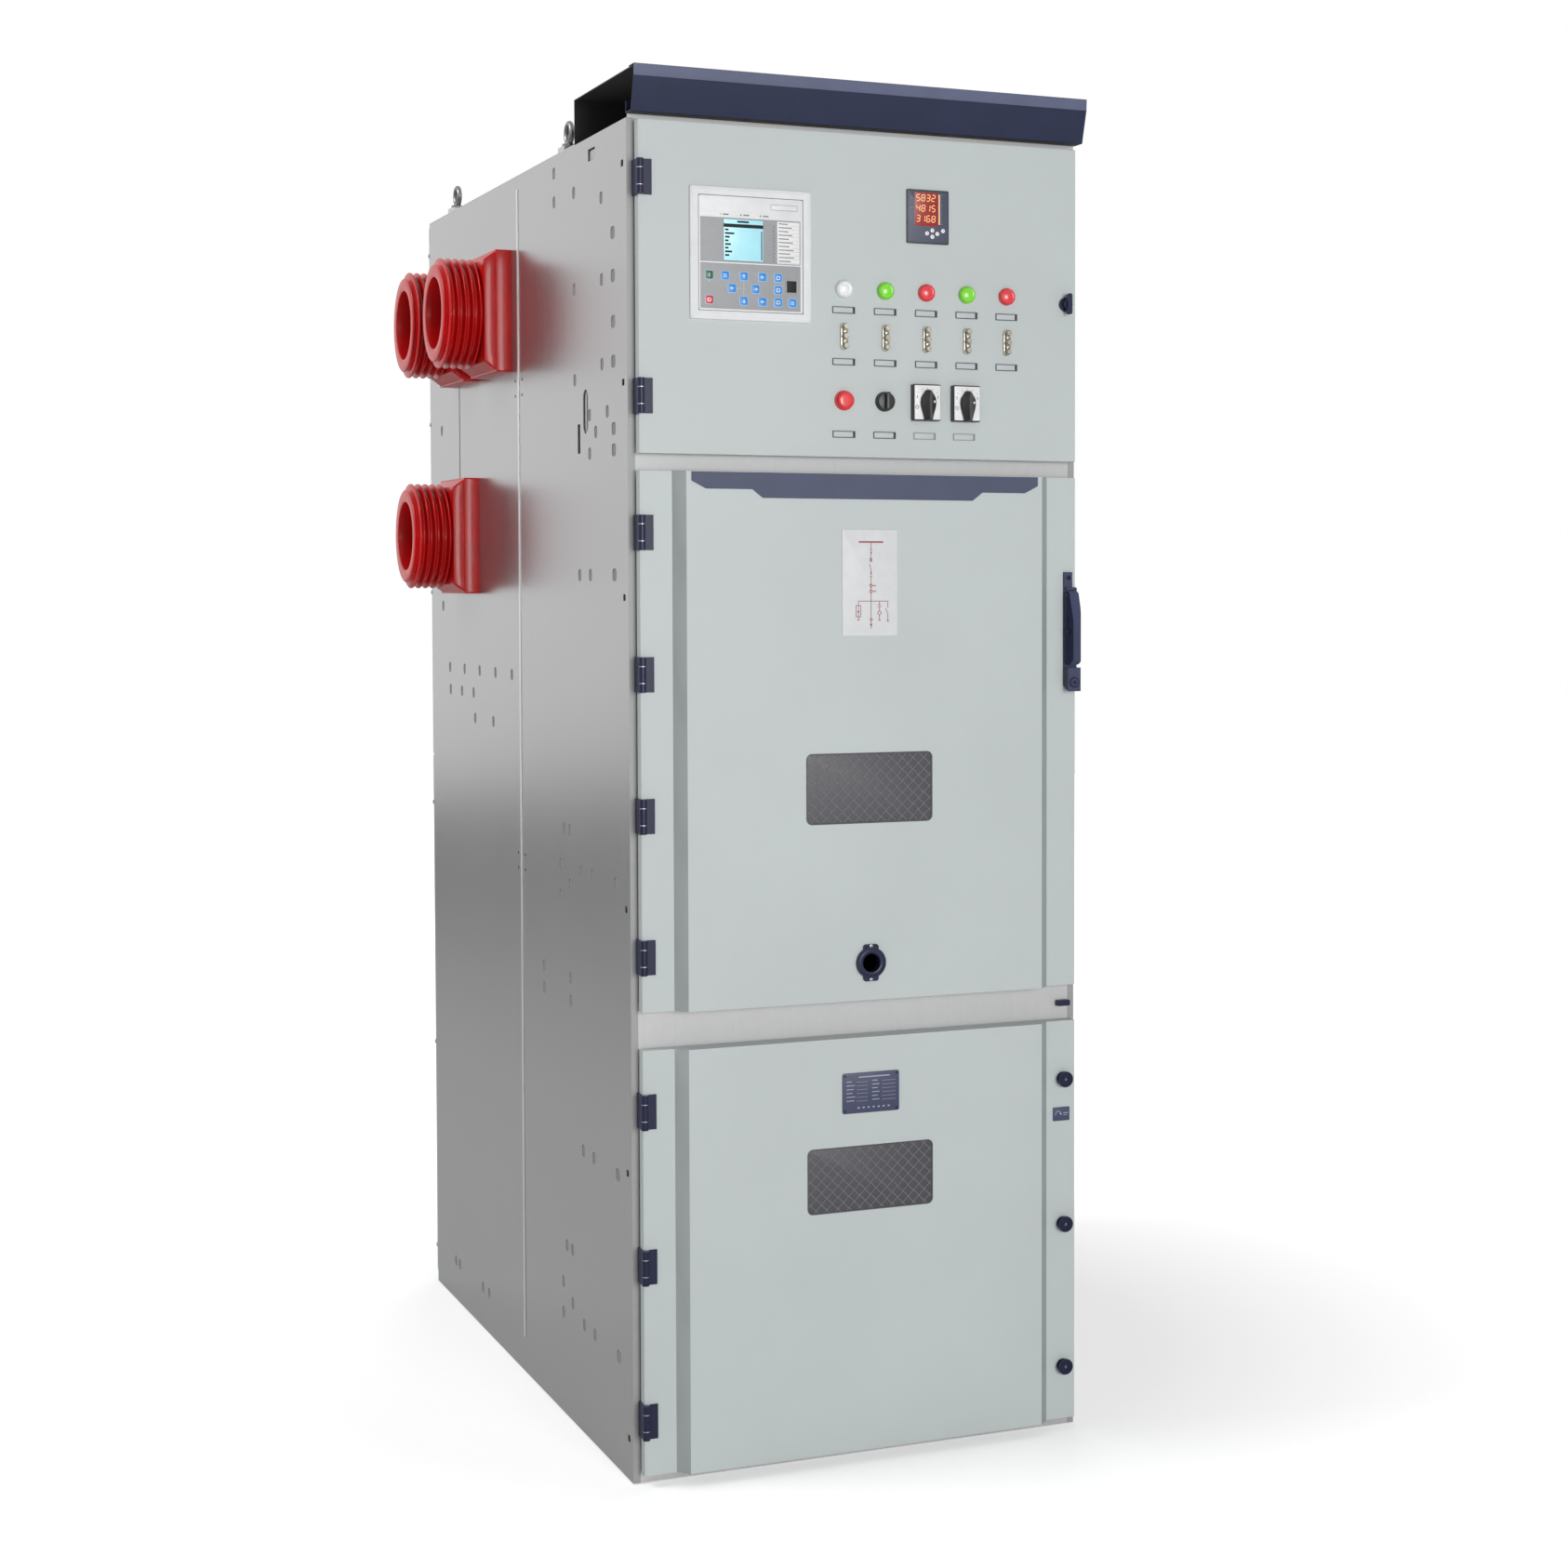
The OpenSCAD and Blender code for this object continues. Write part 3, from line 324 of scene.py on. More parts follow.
# A lighter copy of the navy for the handle's front faces: painted light.
handle_painted_front_light = enamel("handle_painted_front_light", (60, 65, 92), roughness=0.4, coat=0.05, shine=0.2)
header_face = enamel("header_face", (44, 49, 73), roughness=0.45, coat=0.03, shine=0.12)
# The header's upright band is the same navy enamel as its face, painted lighter: painted light.
header_band_painted_light = enamel("header_band_painted_light", (92, 98, 124), roughness=0.45, coat=0.05, shine=0.2)
trim_blue = enamel("trim_blue", (76, 82, 105), roughness=0.45, coat=0.05, shine=0.2)
# Black that stands for shade in holes, recesses and the hidden inside of the header: painted shade.
duct_black = enamel("duct_black", (24, 24, 25), roughness=0.5, coat=0.0, shine=0.2)
hood_black = enamel("hood_black", (44, 44, 45), roughness=0.55, coat=0.0, shine=0.25)
print("sheet finishes:", len(bpy.data.materials))

# %% [markdown]
# The bushings are cast from red epoxy. The resin is opaque, glossy and a little uneven, because it
# shrinks as it sets. The fasteners are bright zinc or chrome. The small parts on the doors are moulded
# plastic, where the mould leaves a very fine spark texture.

# %% Resin, metal and plastic
def cast_resin(name, colour):
    """Cast epoxy: a satin skin with slow waves, and a slightly darker heart in places."""
    material, shader, start = start_finish(name)
    waves, cloud = start.noise(18, 2), start.noise(90, 2)
    start.wire(shader, {
        "Base Color": cloud.above(0.5, 0.6).shades(colour, 0.92, 1.05),
        "Roughness": waves * 0.1 + 0.3, "Coat Weight": 0.25, "Coat Roughness": 0.12,
        "Specular IOR Level": 0.16, "Normal": waves.bump(0.1, 0.2)})
    return material


def plated(name, colour, roughness):
    """Plated steel: a mirror dulled by fine scratches and finger marks."""
    material, shader, start = start_finish(name)
    scratches, smears = start.noise(0.7, 2), start.noise(14, 2)
    start.wire(shader, {
        "Base Color": smears.shades(colour, 0.92, 1.05), "Metallic": 1.0,
        "Roughness": scratches * 0.12 + smears * 0.1 + (roughness - 0.1),
        "Normal": scratches.bump(0.02, 0.3)})
    return material


def moulded(name, colour, roughness=0.4, grain=0.5, depth=0.02, coat=0.0, glow=0.0):
    """Moulded plastic: spark texture from the mould, and a faint flow pattern in the colour."""
    material, shader, start = start_finish(name)
    spark, flow = start.noise(grain, 1), start.noise(24, 2)
    colours = (flow * 0.7 + spark * 0.3).shades(colour, 0.94, 1.04)
    start.wire(shader, {
        "Base Color": colours, "Roughness": spark * 0.1 + flow * 0.06 + (roughness - 0.08),
        "Coat Weight": coat, "Coat Roughness": 0.1, "Normal": spark.bump(depth, 0.5)})
    if glow:
        start.wire(shader, {"Emission Color": colours, "Emission Strength": glow})
    return material


resin = cast_resin("red_resin", (198, 10, 12))
chrome = plated("chrome", (214, 214, 216), 0.16)
nickel = plated("nickel", (158, 153, 140), 0.26)
forged = plated("forged_eye", (128, 128, 130), 0.3)
zinc_bolt = plated("zinc_bolt", (176, 178, 182), 0.32)
black = moulded("black_plastic", (28, 28, 30), 0.42)
white = moulded("white_plastic", (236, 236, 236), 0.4)
pale_bezel = moulded("pale_bezel", (225, 227, 229), 0.5)
relay_white = moulded("relay_white", (226, 227, 229), 0.4)
relay_grey = moulded("relay_grey", (156, 157, 160), 0.5)
mid_grey = moulded("mid_grey", (122, 123, 126), 0.5)
dark_grey = moulded("dark_grey", (74, 76, 80), 0.5)
# A darker grey for the floors and sides of the wall's pockets: painted shade.
pocket_painted_shade = moulded("pocket_painted_shade", (142, 142, 142), 0.7)
rubber = moulded("black_rubber", (24, 24, 25), 0.7, grain=0.8, depth=0.04)
key_blue = moulded("key_blue", (34, 138, 222), 0.4)
key_glow = moulded("key_glow", (168, 204, 232), 0.4)
key_green = moulded("key_green", (18, 92, 52), 0.36)
key_red = moulded("key_red", (206, 40, 52), 0.36)
meter_slate = moulded("meter_slate", (62, 68, 88), 0.45)
meter_red = moulded("meter_window", (150, 24, 15), 0.3)
digit_light = moulded("digit_light", (255, 186, 126), 0.4, glow=0.5)
lcd = moulded("liquid_crystal", (170, 230, 242), 0.3, glow=0.1)
lcd_ink = moulded("liquid_crystal_ink", (8, 14, 18), 0.8)
lamp_white = moulded("lamp_white", (238, 240, 243), 0.25, coat=0.2)
lamp_green = moulded("lamp_green", (128, 222, 50), 0.25, coat=0.2)
lamp_red = moulded("lamp_red", (232, 56, 64), 0.25, coat=0.2)
button_red = moulded("button_red", (226, 50, 56), 0.3, coat=0.2)
label_paper = moulded("label_paper", (190, 195, 196), 0.5)
label_frame = moulded("label_frame", (84, 86, 90), 0.5)
mimic_white = moulded("mimic_white", (216, 217, 219), 0.5)
mimic_red = moulded("mimic_red", (140, 20, 28), 0.5)
# An opaque grey that stands for the dark compartment seen through the glass: painted shade.
pane_painted_shade = moulded("pane_painted_interior_shade", (68, 68, 73), 0.45, grain=6, depth=0.01)
mesh_wire = moulded("mesh_wire", (114, 112, 119), 0.6)
plate_marks = moulded("plate_marks", (158, 166, 186), 0.5)
plate_navy = moulded("plate_navy", (58, 63, 92), 0.42)
print("finishes:", len(bpy.data.materials))

# %% [markdown]
# ## Shapes from numbers
# A mesh is a list of points and a list of faces. Nearly every small piece here is either a profile that
# is turned round an axis, or a profile that is carried round an outline or along a path. Both give a
# grid of points, worked out as one array, and one function joins any grid into four-sided faces. A part
# is kept as such a pair, so parts can be moved and joined before Blender sees them.

# %% Grids, outlines and eased corners
def grid(points, wrap_rows=False, caps=False):
    """Joins rows by columns of points into four-sided faces, round each row; caps close the end rows."""
    rows, columns = points.shape[:2]
    index = np.arange(rows * columns).reshape(rows, columns)
    below, beside = np.roll(index, -1, 0), np.roll(index, -1, 1)
    quads = np.stack([index, beside, np.roll(below, -1, 1), below], -1)
    faces = quads[:rows if wrap_rows else rows - 1].reshape(-1, 4).tolist()
    if caps:
        faces += [index[0][::-1].tolist(), index[-1].tolist()]
    return points.reshape(-1, 3), faces


def joined(*parts):
    """Several parts as one: the faces of each are numbered on from the parts before it."""
    starts = np.cumsum([0] + [len(points) for points, _ in parts])
    faces = [[i + int(s) for i in face] for (_, fs), s in zip(parts, starts) for face in fs]
    return np.concatenate([points for points, _ in parts]), faces


def eased(outline, radius, steps=4):
    """Rounds corners: each becomes a parabola (1-t)^2 a + 2t(1-t) corner + t^2 c between its sides."""
    p = np.asarray(outline, float)
    back, ahead = np.roll(p, 1, 0) - p, np.roll(p, -1, 0) - p
    lengths = [np.maximum(np.linalg.norm(v, axis=1, keepdims=True), 1e-9) for v in (back, ahead)]
    cut = np.minimum(radius, 0.49 * np.minimum(*lengths))
    a, c = p + back / lengths[0] * cut, p + ahead / lengths[1] * cut
    t = np.linspace(0, 1, steps + 1)[None, :, None]
    curve = (1 - t) ** 2 * a[:, None] + 2 * t * (1 - t) * p[:, None] + t ** 2 * c[:, None]
    return curve.reshape(-1, 2)


def box_outline(width, height, radius=0.0, steps=5):
    """A rectangle about the middle, anticlockwise, with eased corners."""
    corners = np.array([[-1, -1], [1, -1], [1, 1], [-1, 1]]) * [width / 2, height / 2]
    return eased(corners, radius, steps=steps) if radius else corners


def ring_outline(radius, steps, first=0.0):
    """A circle: radius cos t, radius sin t, from the first angle on."""
    t = np.arange(steps) * 2 * np.pi / steps + first
    return np.column_stack([radius * np.cos(t), radius * np.sin(t)])


def obround(width, height, steps=8):
    """A slot outline: two half circles, radius cos t and sin t, joined by straight sides."""
    t = np.linspace(0, np.pi, steps + 1)
    cap = np.column_stack([np.cos(t), np.sin(t)]) * width / 2
    lift = np.array([0, (height - width) / 2])
    return np.concatenate([cap + lift, -cap - lift])


def plus_outline(arm, half):
    """A cross: a quarter of its outline, turned three times by (x, y) -> (-y, x)."""
    quarters = [np.array([[half, arm], [-half, arm], [-half, half]])]
    for _ in range(3):
        quarters.append(quarters[-1][:, ::-1] * [-1, 1])
    return np.concatenate(quarters)


def inset(outline, distance):
    """An outline moved inwards: each corner slides along the mitre of its two sides."""
    side = np.roll(outline, -1, 0) - outline
    inward = np.column_stack([-side[:, 1], side[:, 0]]) / np.linalg.norm(side, axis=1, keepdims=True)
    before = np.roll(inward, 1, 0)
    mitre = (before + inward) / (1 + (before * inward).sum(1, keepdims=True))
    return outline + distance * mitre


def moulding(outline, profile, hollow=False):
    """Carries a profile of (inset, height) round an outline; hollow joins its end to its start."""
    rings = [np.column_stack([inset(outline, step), np.full(len(outline), height)])
             for step, height in profile]
    return grid(np.stack(rings), wrap_rows=hollow, caps=not hollow)


def slab(outline, height, ease=0.4, foot=0.0):
    """A flat piece with an eased front edge, from the foot to its height."""
    t = np.linspace(0, np.pi / 2, 4)
    edge = np.column_stack([ease * (1 - np.cos(t)), height - ease + ease * np.sin(t)])
    return moulding(np.asarray(outline, float), np.concatenate([[[0.0, foot]], edge]))


def turned(profile, steps=48, hollow=False):
    """Turns (radius, height) points round the height axis: x = r cos t, y = r sin t, z = height."""
    r, h = np.asarray(profile, float).T[:, :, None]
    t = np.arange(steps) * 2 * np.pi / steps
    points = np.stack(np.broadcast_arrays(r * np.cos(t), r * np.sin(t), h), -1)
    return grid(points, wrap_rows=hollow)


def swept(path, section, up=(0, 0, 1), closed=False):
    """Carries a closed section along a path: its x goes sideways and its y along up.
    At a bend the sideways part is stretched, so that the piece keeps its width."""
    path, section = np.asarray(path, float), np.asarray(section, float)
    step = np.roll(path, -1, 0) - path
    step /= np.maximum(np.linalg.norm(step, axis=1, keepdims=True), 1e-9)
    ahead = step if closed else np.concatenate([step[:-1], step[-2:-1]])
    back = np.roll(step, 1, 0) if closed else np.concatenate([step[:1], step[:-1]])
    along = back + ahead
    along /= np.linalg.norm(along, axis=1, keepdims=True)
    side = np.cross(along, up)
    side /= np.linalg.norm(side, axis=1, keepdims=True)
    stretch = 1 / np.maximum((along * ahead).sum(1), 0.35)
    points = (path[:, None] + side[:, None] * stretch[:, None, None] * section[None, :, :1]
              + np.cross(side, along)[:, None] * section[None, :, 1:])
    return grid(points, wrap_rows=closed, caps=not closed)


def flat_line(path, width, height):
    """A raised line of paint or print along a flat path."""
    w, edge = width / 2, height * 0.8
    section = [[-w, 0], [w, 0], [w, edge], [w * 0.7, height], [-w * 0.7, height], [-w, edge]]
    return swept(np.column_stack([path, np.zeros(len(path))]), section)


def flat_loop(path, width, height):
    """A line with square edges, whose path is closed."""
    w = width / 2
    section = [[-w, 0], [w, 0], [w, height], [-w, height]]
    return swept(np.column_stack([path, np.zeros(len(path))]), section, closed=True)


def rippled(part, share):
    """Moves the points of a turned part in and out: each radius r at an angle t is times share(r, t)."""
    points, faces = part
    x, y = points[:, 0], points[:, 1]
    ripple = share(np.hypot(x, y), np.arctan2(y, x))
    return points * np.column_stack([ripple, ripple, np.ones(len(points))]), faces


print("outline test:", box_outline(10, 6, 1).shape, "turned test:", turned([[0, 0], [2, 0], [2, 1]])[0].shape)

# %% [markdown]
# A piece is drawn flat, as (across, up, out), and then stood on one side of the cubicle. Placing it is a
# small matrix whose rows say where across, up and out point on that side. The place itself is read from
# the box of a solid in the frame, so the piece follows the frame when its sizes change.

# %% Placing parts and making pieces
SIDES = {"front": [[1, 0, 0], [0, 0, 1], [0, -1, 0]], "rear": [[-1, 0, 0], [0, 0, 1], [0, 1, 0]],
         "left": [[0, -1, 0], [0, 0, 1], [-1, 0, 0]], "right": [[0, 1, 0], [0, 0, 1], [1, 0, 0]],
         "top": [[1, 0, 0], [0, 1, 0], [0, 0, 1]]}


def stand(part, side, *places):
    """Copies a flat part to places on a side: place + across u + up v + out w."""
    points = part[0] @ np.array(SIDES[side], float)
    return joined(*[(points + np.asarray(place, float), part[1]) for place in places])


def shift(part, across=0.0, up=0.0, out=0.0, turn=0.0):
    """Moves a flat part, after turning it anticlockwise by an angle in degrees."""
    c, s = np.cos(np.radians(turn)), np.sin(np.radians(turn))
    points = part[0] @ np.array([[c, s, 0], [-s, c, 0], [0, 0, 1]])
    return points + [across, up, out], part[1]


def span(node):
    """Lowest and highest corner of a solid of the frame, in millimetres."""
    low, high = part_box(node)
    return np.array(low) * 1000, np.array(high) * 1000


def solids(node):
    """The boxes of the separate solids in a node, from left to right and then upwards.
    Corners that touch are given the lowest number among them, until nothing changes."""
    mesh = frame["nodes"][node].data
    co = np.empty(len(mesh.vertices) * 3)
    mesh.vertices.foreach_get("co", co)
    places, index = np.unique(np.round(co.reshape(-1, 3) * 1000, 3), axis=0, return_inverse=True)
    mesh.calc_loop_triangles()
    corners = np.empty(len(mesh.loop_triangles) * 3, np.int64)
    mesh.loop_triangles.foreach_get("vertices", corners)
    corners = index.reshape(-1)[corners].reshape(-1, 3)
    label = np.arange(len(places))
    while True:
        lowest = label.copy()
        np.minimum.at(lowest, corners.ravel(), np.repeat(label[corners].min(1), 3))
        if (lowest == label).all():
            break
        label = lowest
    boxes = [(places[label == k].min(0), places[label == k].max(0)) for k in np.unique(label)]
    return sorted(boxes, key=lambda b: (round(b[0][0]), round(b[0][2])))


def middle(box):
    """The centre of a pair of corners."""
    return (box[0] + box[1]) / 2


def extent(box):
    """The width, depth and height of a box."""
    return box[1] - box[0]


def at_depth(box, y):
    """The middle of a box as the front sees it, at a depth y."""
    x, _, z = middle(box)
    return x, y, z


def front_of(box):
    """The middle of the side of a box that faces the front."""
    return at_depth(box, box[0][1])


def back_of(box):
    """The middle of the side of a box that faces the rear."""
    return at_depth(box, box[1][1])


def on_front(places, *layers):
    """Stands (part, finish) layers on the front, each at all of the places."""
    return [(stand(part, "front", *places), finish) for part, finish in layers]


def shade_by_angle(mesh, angle):
    """Smooth faces, with sharp edges wherever two faces meet at more than the angle."""
    mesh.polygons.foreach_set("use_smooth", [True] * len(mesh.polygons))
    mesh.set_sharp_from_angle(angle=np.radians(angle))


def piece(name, body, layers, slot, replaces=(), angle=32):
    """Makes one object from (part, material) layers, in metres, and lets it ride on a body."""
    points, faces = joined(*[part for part, _ in layers])
    mesh = bpy.data.meshes.new(name)
    mesh.from_pydata((points * 0.001).tolist(), [], faces)
    materials = list(dict.fromkeys(material for _, material in layers))
    for material in materials:
        mesh.materials.append(material)
    mesh.polygons.foreach_set("material_index", np.concatenate(
        [np.full(len(part[1]), materials.index(material)) for part, material in layers]))
    shell = bmesh.new()
    shell.from_mesh(mesh)
    bmesh.ops.remove_doubles(shell, verts=shell.verts, dist=1e-7)
    bmesh.ops.recalc_face_normals(shell, faces=shell.faces)
    shell.to_mesh(mesh)
    shell.free()
    shade_by_angle(mesh, angle)
    obj = add_object(name, mesh)
    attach(obj, body)
    if replaces:
        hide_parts(*replaces)
    return obj


slot_of = {part["node"]: part["material_slot"] for part in record["subparts"]}
print("solids in lamps_green:", len(solids("lamps_green")), "slots:", len(set(slot_of.values())))

# %% [markdown]
# ## Folded sheet metal
# The walls, doors, rails and covers are sheet steel, and the frame already has their folds. What a plain
# solid lacks is the soft line of light along each edge. A copy of the solid is merged, its flat faces
# are joined into one, and a small Bevel modifier rounds the edges. Weighted normals keep the big faces
# flat. The copy stands for the solid, which stays hidden for collisions.

# %% Eased copies of the frame's solids
def sheet_copy(node, material, ease=0.5, segments=2, pockets=None):
    """A copy of a node with its triangles joined, pockets cut into it and its edges rounded."""
    mesh = frame["nodes"][node].data.copy()
    mesh.name = node + "_eased"
    shell = bmesh.new()
    shell.from_mesh(mesh)
    bmesh.ops.remove_doubles(shell, verts=shell.verts, dist=2e-6)
    bmesh.ops.dissolve_limit(shell, angle_limit=np.radians(0.5), verts=shell.verts, edges=shell.edges)
    shell.to_mesh(mesh)
    shell.free()
    mesh.materials.clear()
    mesh.materials.append(material)
    mesh.polygons.foreach_set("material_index", [0] * len(mesh.polygons))
    obj = add_object(mesh.name, mesh)
    if pockets is not None:
        cut_pockets(obj, pockets)
    shade_by_angle(obj.data, angle=20)
    bevel = obj.modifiers.new("eased_edges", "BEVEL")
    bevel.width, bevel.segments = ease * 0.001, segments
    bevel.limit_method, bevel.angle_limit = "ANGLE", np.radians(28)
    bevel.miter_outer = "MITER_ARC"
    even = obj.modifiers.new("flat_faces", "WEIGHTED_NORMAL")
    even.keep_sharp = False
    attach(obj, body_of[node])
    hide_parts(node)
    return obj


def recolour(obj, finish, test):
    """Gives a finish to the faces that pass a test of their middles, in millimetres, and normals."""
    mesh, count = obj.data, len(obj.data.polygons)
    middles, normals, index = np.empty(count * 3), np.empty(count * 3), np.empty(count, np.int32)
    mesh.polygons.foreach_get("center", middles)
    mesh.polygons.foreach_get("normal", normals)
    mesh.polygons.foreach_get("material_index", index)
    mesh.materials.append(finish)
    chosen = test(middles.reshape(-1, 3) * 1000, normals.reshape(-1, 3))
    index[chosen] = len(mesh.materials) - 1
    mesh.polygons.foreach_set("material_index", index)
    return int(chosen.sum())


def cut_pockets(obj, part):
    """Cuts a part out of an object, and keeps the result as its plain mesh."""
    mesh = bpy.data.meshes.new("pockets")
    mesh.from_pydata((part[0] * 0.001).tolist(), [], part[1])
    cutter = add_object("pockets", mesh)
    cut = obj.modifiers.new("pockets", "BOOLEAN")
    cut.object, cut.operation, cut.solver = cutter, "DIFFERENCE", "EXACT"
    evaluated = obj.evaluated_get(bpy.context.evaluated_depsgraph_get())
    result = bpy.data.meshes.new_from_object(evaluated)
    obj.modifiers.clear()
    old, obj.data = obj.data, result
    bpy.data.meshes.remove(old)
    result.name = obj.name
    bpy.data.objects.remove(cutter)


print("eased copies take a node, a finish and an edge radius")

# %% [markdown]
# ## The cabinet
# The walls are two folded sheets on each side, joined under a narrow bright strip. A punching press left
# rows of small blind pockets in them, where brackets are riveted in other versions of the cubicle. They
# are cut into the copy of the wall as shallow slots, so that they catch the light like the real ones, and
# their floors and sides get a darker grey: painted shade. The press works in set columns behind the front
# edge, so a row is its height and the letters of its columns. On the rear sheet a row is a run: its height,
# its first pocket, a pitch and a count.

# %% Punchings of the left wall
wall_low, wall_high = span("left_wall_front")
front_y, rear_y, wall_x = wall_low[1], span("left_wall_rear")[1][1], wall_low[0]
seam_y, wall_top = wall_high[1:]
columns = {"a": 80, "b": 117, "c": 147, "d": 187, "e": 225, "f": 292,
           "g": 316, "h": 367, "i": 403, "j": 429, "k": 445, "l": 547}
front_rows = {2195: "k", 2145: "gk", 2115: "c", 2050: "a", 1980: "acg", 1905: "a", 1840: "ac", 1825: "g",
              1760: "be", 1730: "ad", 1695: "ae", 1490: "aef", 1045: "hi", 980: "aefj", 950: "h", 925: "j",
              785: "hl", 745: "hl", 495: "aef", 305: "hi", 235: "j", 210: "h", 190: "aef", 180: "j"}
rear_runs = [(1790, 1340, 0, 1), (1430, 1340, 0, 1), (1305, 770, 128, 5), (1260, 1078, 100, 3),
             (1210, 917, 149, 2), (80, 1237, 35, 2), (80, 986, 52, 2)]
front_places = [(columns[letter], z) for z, letters in front_rows.items() for letter in letters]
rear_places = [(first + i * pitch, z) for z, first, pitch, count in rear_runs for i in range(count)]
pocket_depth = 1.3


def pockets(places):
    """Slot-shaped cutters on the left wall, at (distance behind the front edge, height).
    Those of the first column are wider."""
    cutters = []
    for width, first, last in ((24, 0, 95), (18, 95, rear_y - front_y)):
        cutter = moulding(box_outline(width, 21, 8, 6),
                          [(0.6, 0.0), (0.0, pocket_depth), (0.0, pocket_depth + 2)])
        spots = [(wall_x + pocket_depth, front_y + back, z) for back, z in places if first <= back < last]
        cutters += [stand(cutter, "left", *spots)] if spots else []
    return joined(*cutters)


left_front = sheet_copy("left_wall_front", zinc_wall, 0.35, pockets=pockets(front_places))
left_rear = sheet_copy("left_wall_rear", zinc_wall, 0.35, pockets=pockets(rear_places))
for wall in (left_front, left_rear):
    # Painted shade: the floors and sides of the pockets are a darker grey.
    floors = recolour(wall, pocket_painted_shade,
                      lambda m, n: (n[:, 0] < -0.9) & (abs(m[:, 0] - wall_x - pocket_depth) < 0.05))
    sides = recolour(wall, pocket_painted_shade, lambda m, n: abs(m[:, 0] - wall_x - pocket_depth / 2) < 0.1)
    print("punchings:", floors, "floors and", sides, "sides")

# %% [markdown]
# Behind the two largest cuts of the front wall sit the ends of two brackets. They leave a dark gap at one
# side of each cut.

# %% Bracket ends behind the wall's cuts
bracket_back = 5
# width and height of an end, its distance behind the front edge and its distance below the top
bracket_ends = [(40, 24, 215, 33), (26, 90, 267, 457.5)]
brackets = joined(*[stand(slab(box_outline(width, height, 1), 1.5, 0.3), "left",
                          (wall_x + bracket_back, front_y + back, wall_top - down))
                    for width, height, back, down in bracket_ends])
piece("bracket_ends", "cabinet", [(brackets, frame_zinc)], "galvanised")
print("bracket ends:", len(bracket_ends))

# %% [markdown]
# Everything else that is folded from plain sheet only needs eased edges and its finish. The rails and
# strips that frame the doors are a paler zinc than the walls, because they keep their mill finish.

# %% Other sheets of the cabinet
right_front = sheet_copy("right_wall_front", zinc_wall, 0.35)
for wall in (left_front, right_front):
    recolour(wall, folded_edge, lambda m, n: n[:, 1] < -0.9)
for node, finish, ease in [
        ("right_wall_rear", zinc_wall, 0.35), ("floor_tray", zinc_across, 0.4),
        ("corner_posts", frame_zinc, 0.4), ("cross_rails", frame_zinc, 0.4), ("seam_strips", bare_edge, 0.3),
        ("middle_partition", zinc_wall, 0.3), ("compartment_floors", zinc_across, 0.3),
        ("lv_back", frame_zinc, 0.3), ("rear_covers", door_coat, 0.6), ("duct_hood", hood_black, 0.4),
        ("roof_plate", zinc_across, 0.4), ("relief_flaps", zinc_across, 0.5), ("interlock_lug", navy, 0.8)]:
    sheet_copy(node, finish, ease)
header = sheet_copy("header_fascia", header_face, 0.6)
band_z, duct_y = span("header_fascia")[1][2] - 19.5, front_y - 22
# Painted light: the upright band and the top of the header get the lighter navy.
recolour(header, header_band_painted_light, lambda m, n: (m[:, 2] > band_z) & ((n[:, 1] < -0.5) | (n[:, 2] > 0.5)))
# Painted shade: the underside and inside of the header, and its ends behind the front, are black.
recolour(header, duct_black, lambda m, n: (n[:, 2] < -0.5) | (n[:, 1] > 0.3))
recolour(header, duct_black, lambda m, n: (abs(n[:, 0]) > 0.9) & (m[:, 1] > duct_y))

# %% [markdown]
# ## Fasteners
# The sheets are held by small zinc hexagon bolts, domed rivets and cross-recess screws. Each is a few
# turned rings. One fastener is drawn once and stood at every place, so a row of forty is one light mesh.

# %% Bolt, rivet and screw
def hex_bolt(across=10.0, head=4.0, washer=1.2):
    """A washer and a six-sided head, whose upper corners are turned off by a cone."""
    hexagon = ring_outline(across / np.sqrt(3), 6)
    ring = turned([[0, 0], [across * 0.95, 0], [across, washer * 0.4], [across, washer * 0.8],
                   [across * 0.96, washer], [0, washer]], 24)
    body = moulding(hexagon, [(0, washer), (0, washer + head * 0.75), (across * 0.06, washer + head),
                              (across * 0.2, washer + head * 1.02)])
    return joined(ring, body)


def rivet(radius=4.0, rise=1.6):
    """A domed head: height = rise times the square root of 1 - (r / radius) squared."""
    t = np.linspace(0, np.pi / 2, 6)
    return turned(np.column_stack([radius * np.cos(t), rise * np.sin(t)]), 20)


def cross_screw(radius=3.4, rise=1.7):
    """A pan head and the cross of its recess: a dome with a flat top, and on it a black star of painted
    shade.
    """
    t = np.linspace(0, np.pi / 2, 6)[:-1]
    dome = np.column_stack([radius * (0.55 + 0.45 * np.cos(t)), rise * np.sin(t)])
    head = turned(np.concatenate([dome, [[radius * 0.5, rise], [0, rise]]]), 24)
    return head, slab(plus_outline(radius * 0.52, radius * 0.14), rise + 0.05, 0.02, rise - 0.5)


bolt, small_bolt, hole_shade_dome = hex_bolt(), hex_bolt(8, 3.2, 1.0), rivet(2.6, 0.8)
screw_head, screw_cross = cross_screw()


def screws(finish, *places):
    """The two layers of cross-recess screws on the front."""
    return on_front(places, (screw_head, finish), (screw_cross, duct_black))


print("faces in a bolt, a rivet, a screw:", len(bolt[1]), len(hole_shade_dome[1]), len(screw_head[1]))

# %% Painted shade in the seam holes, and bolts on the walls
seam_z, beside_seam = (1851, 1823, 974, 946), 25
seam_holes = [(wall_x, seam_y + side * beside_seam, z) for z in seam_z for side in (-1, 1)]
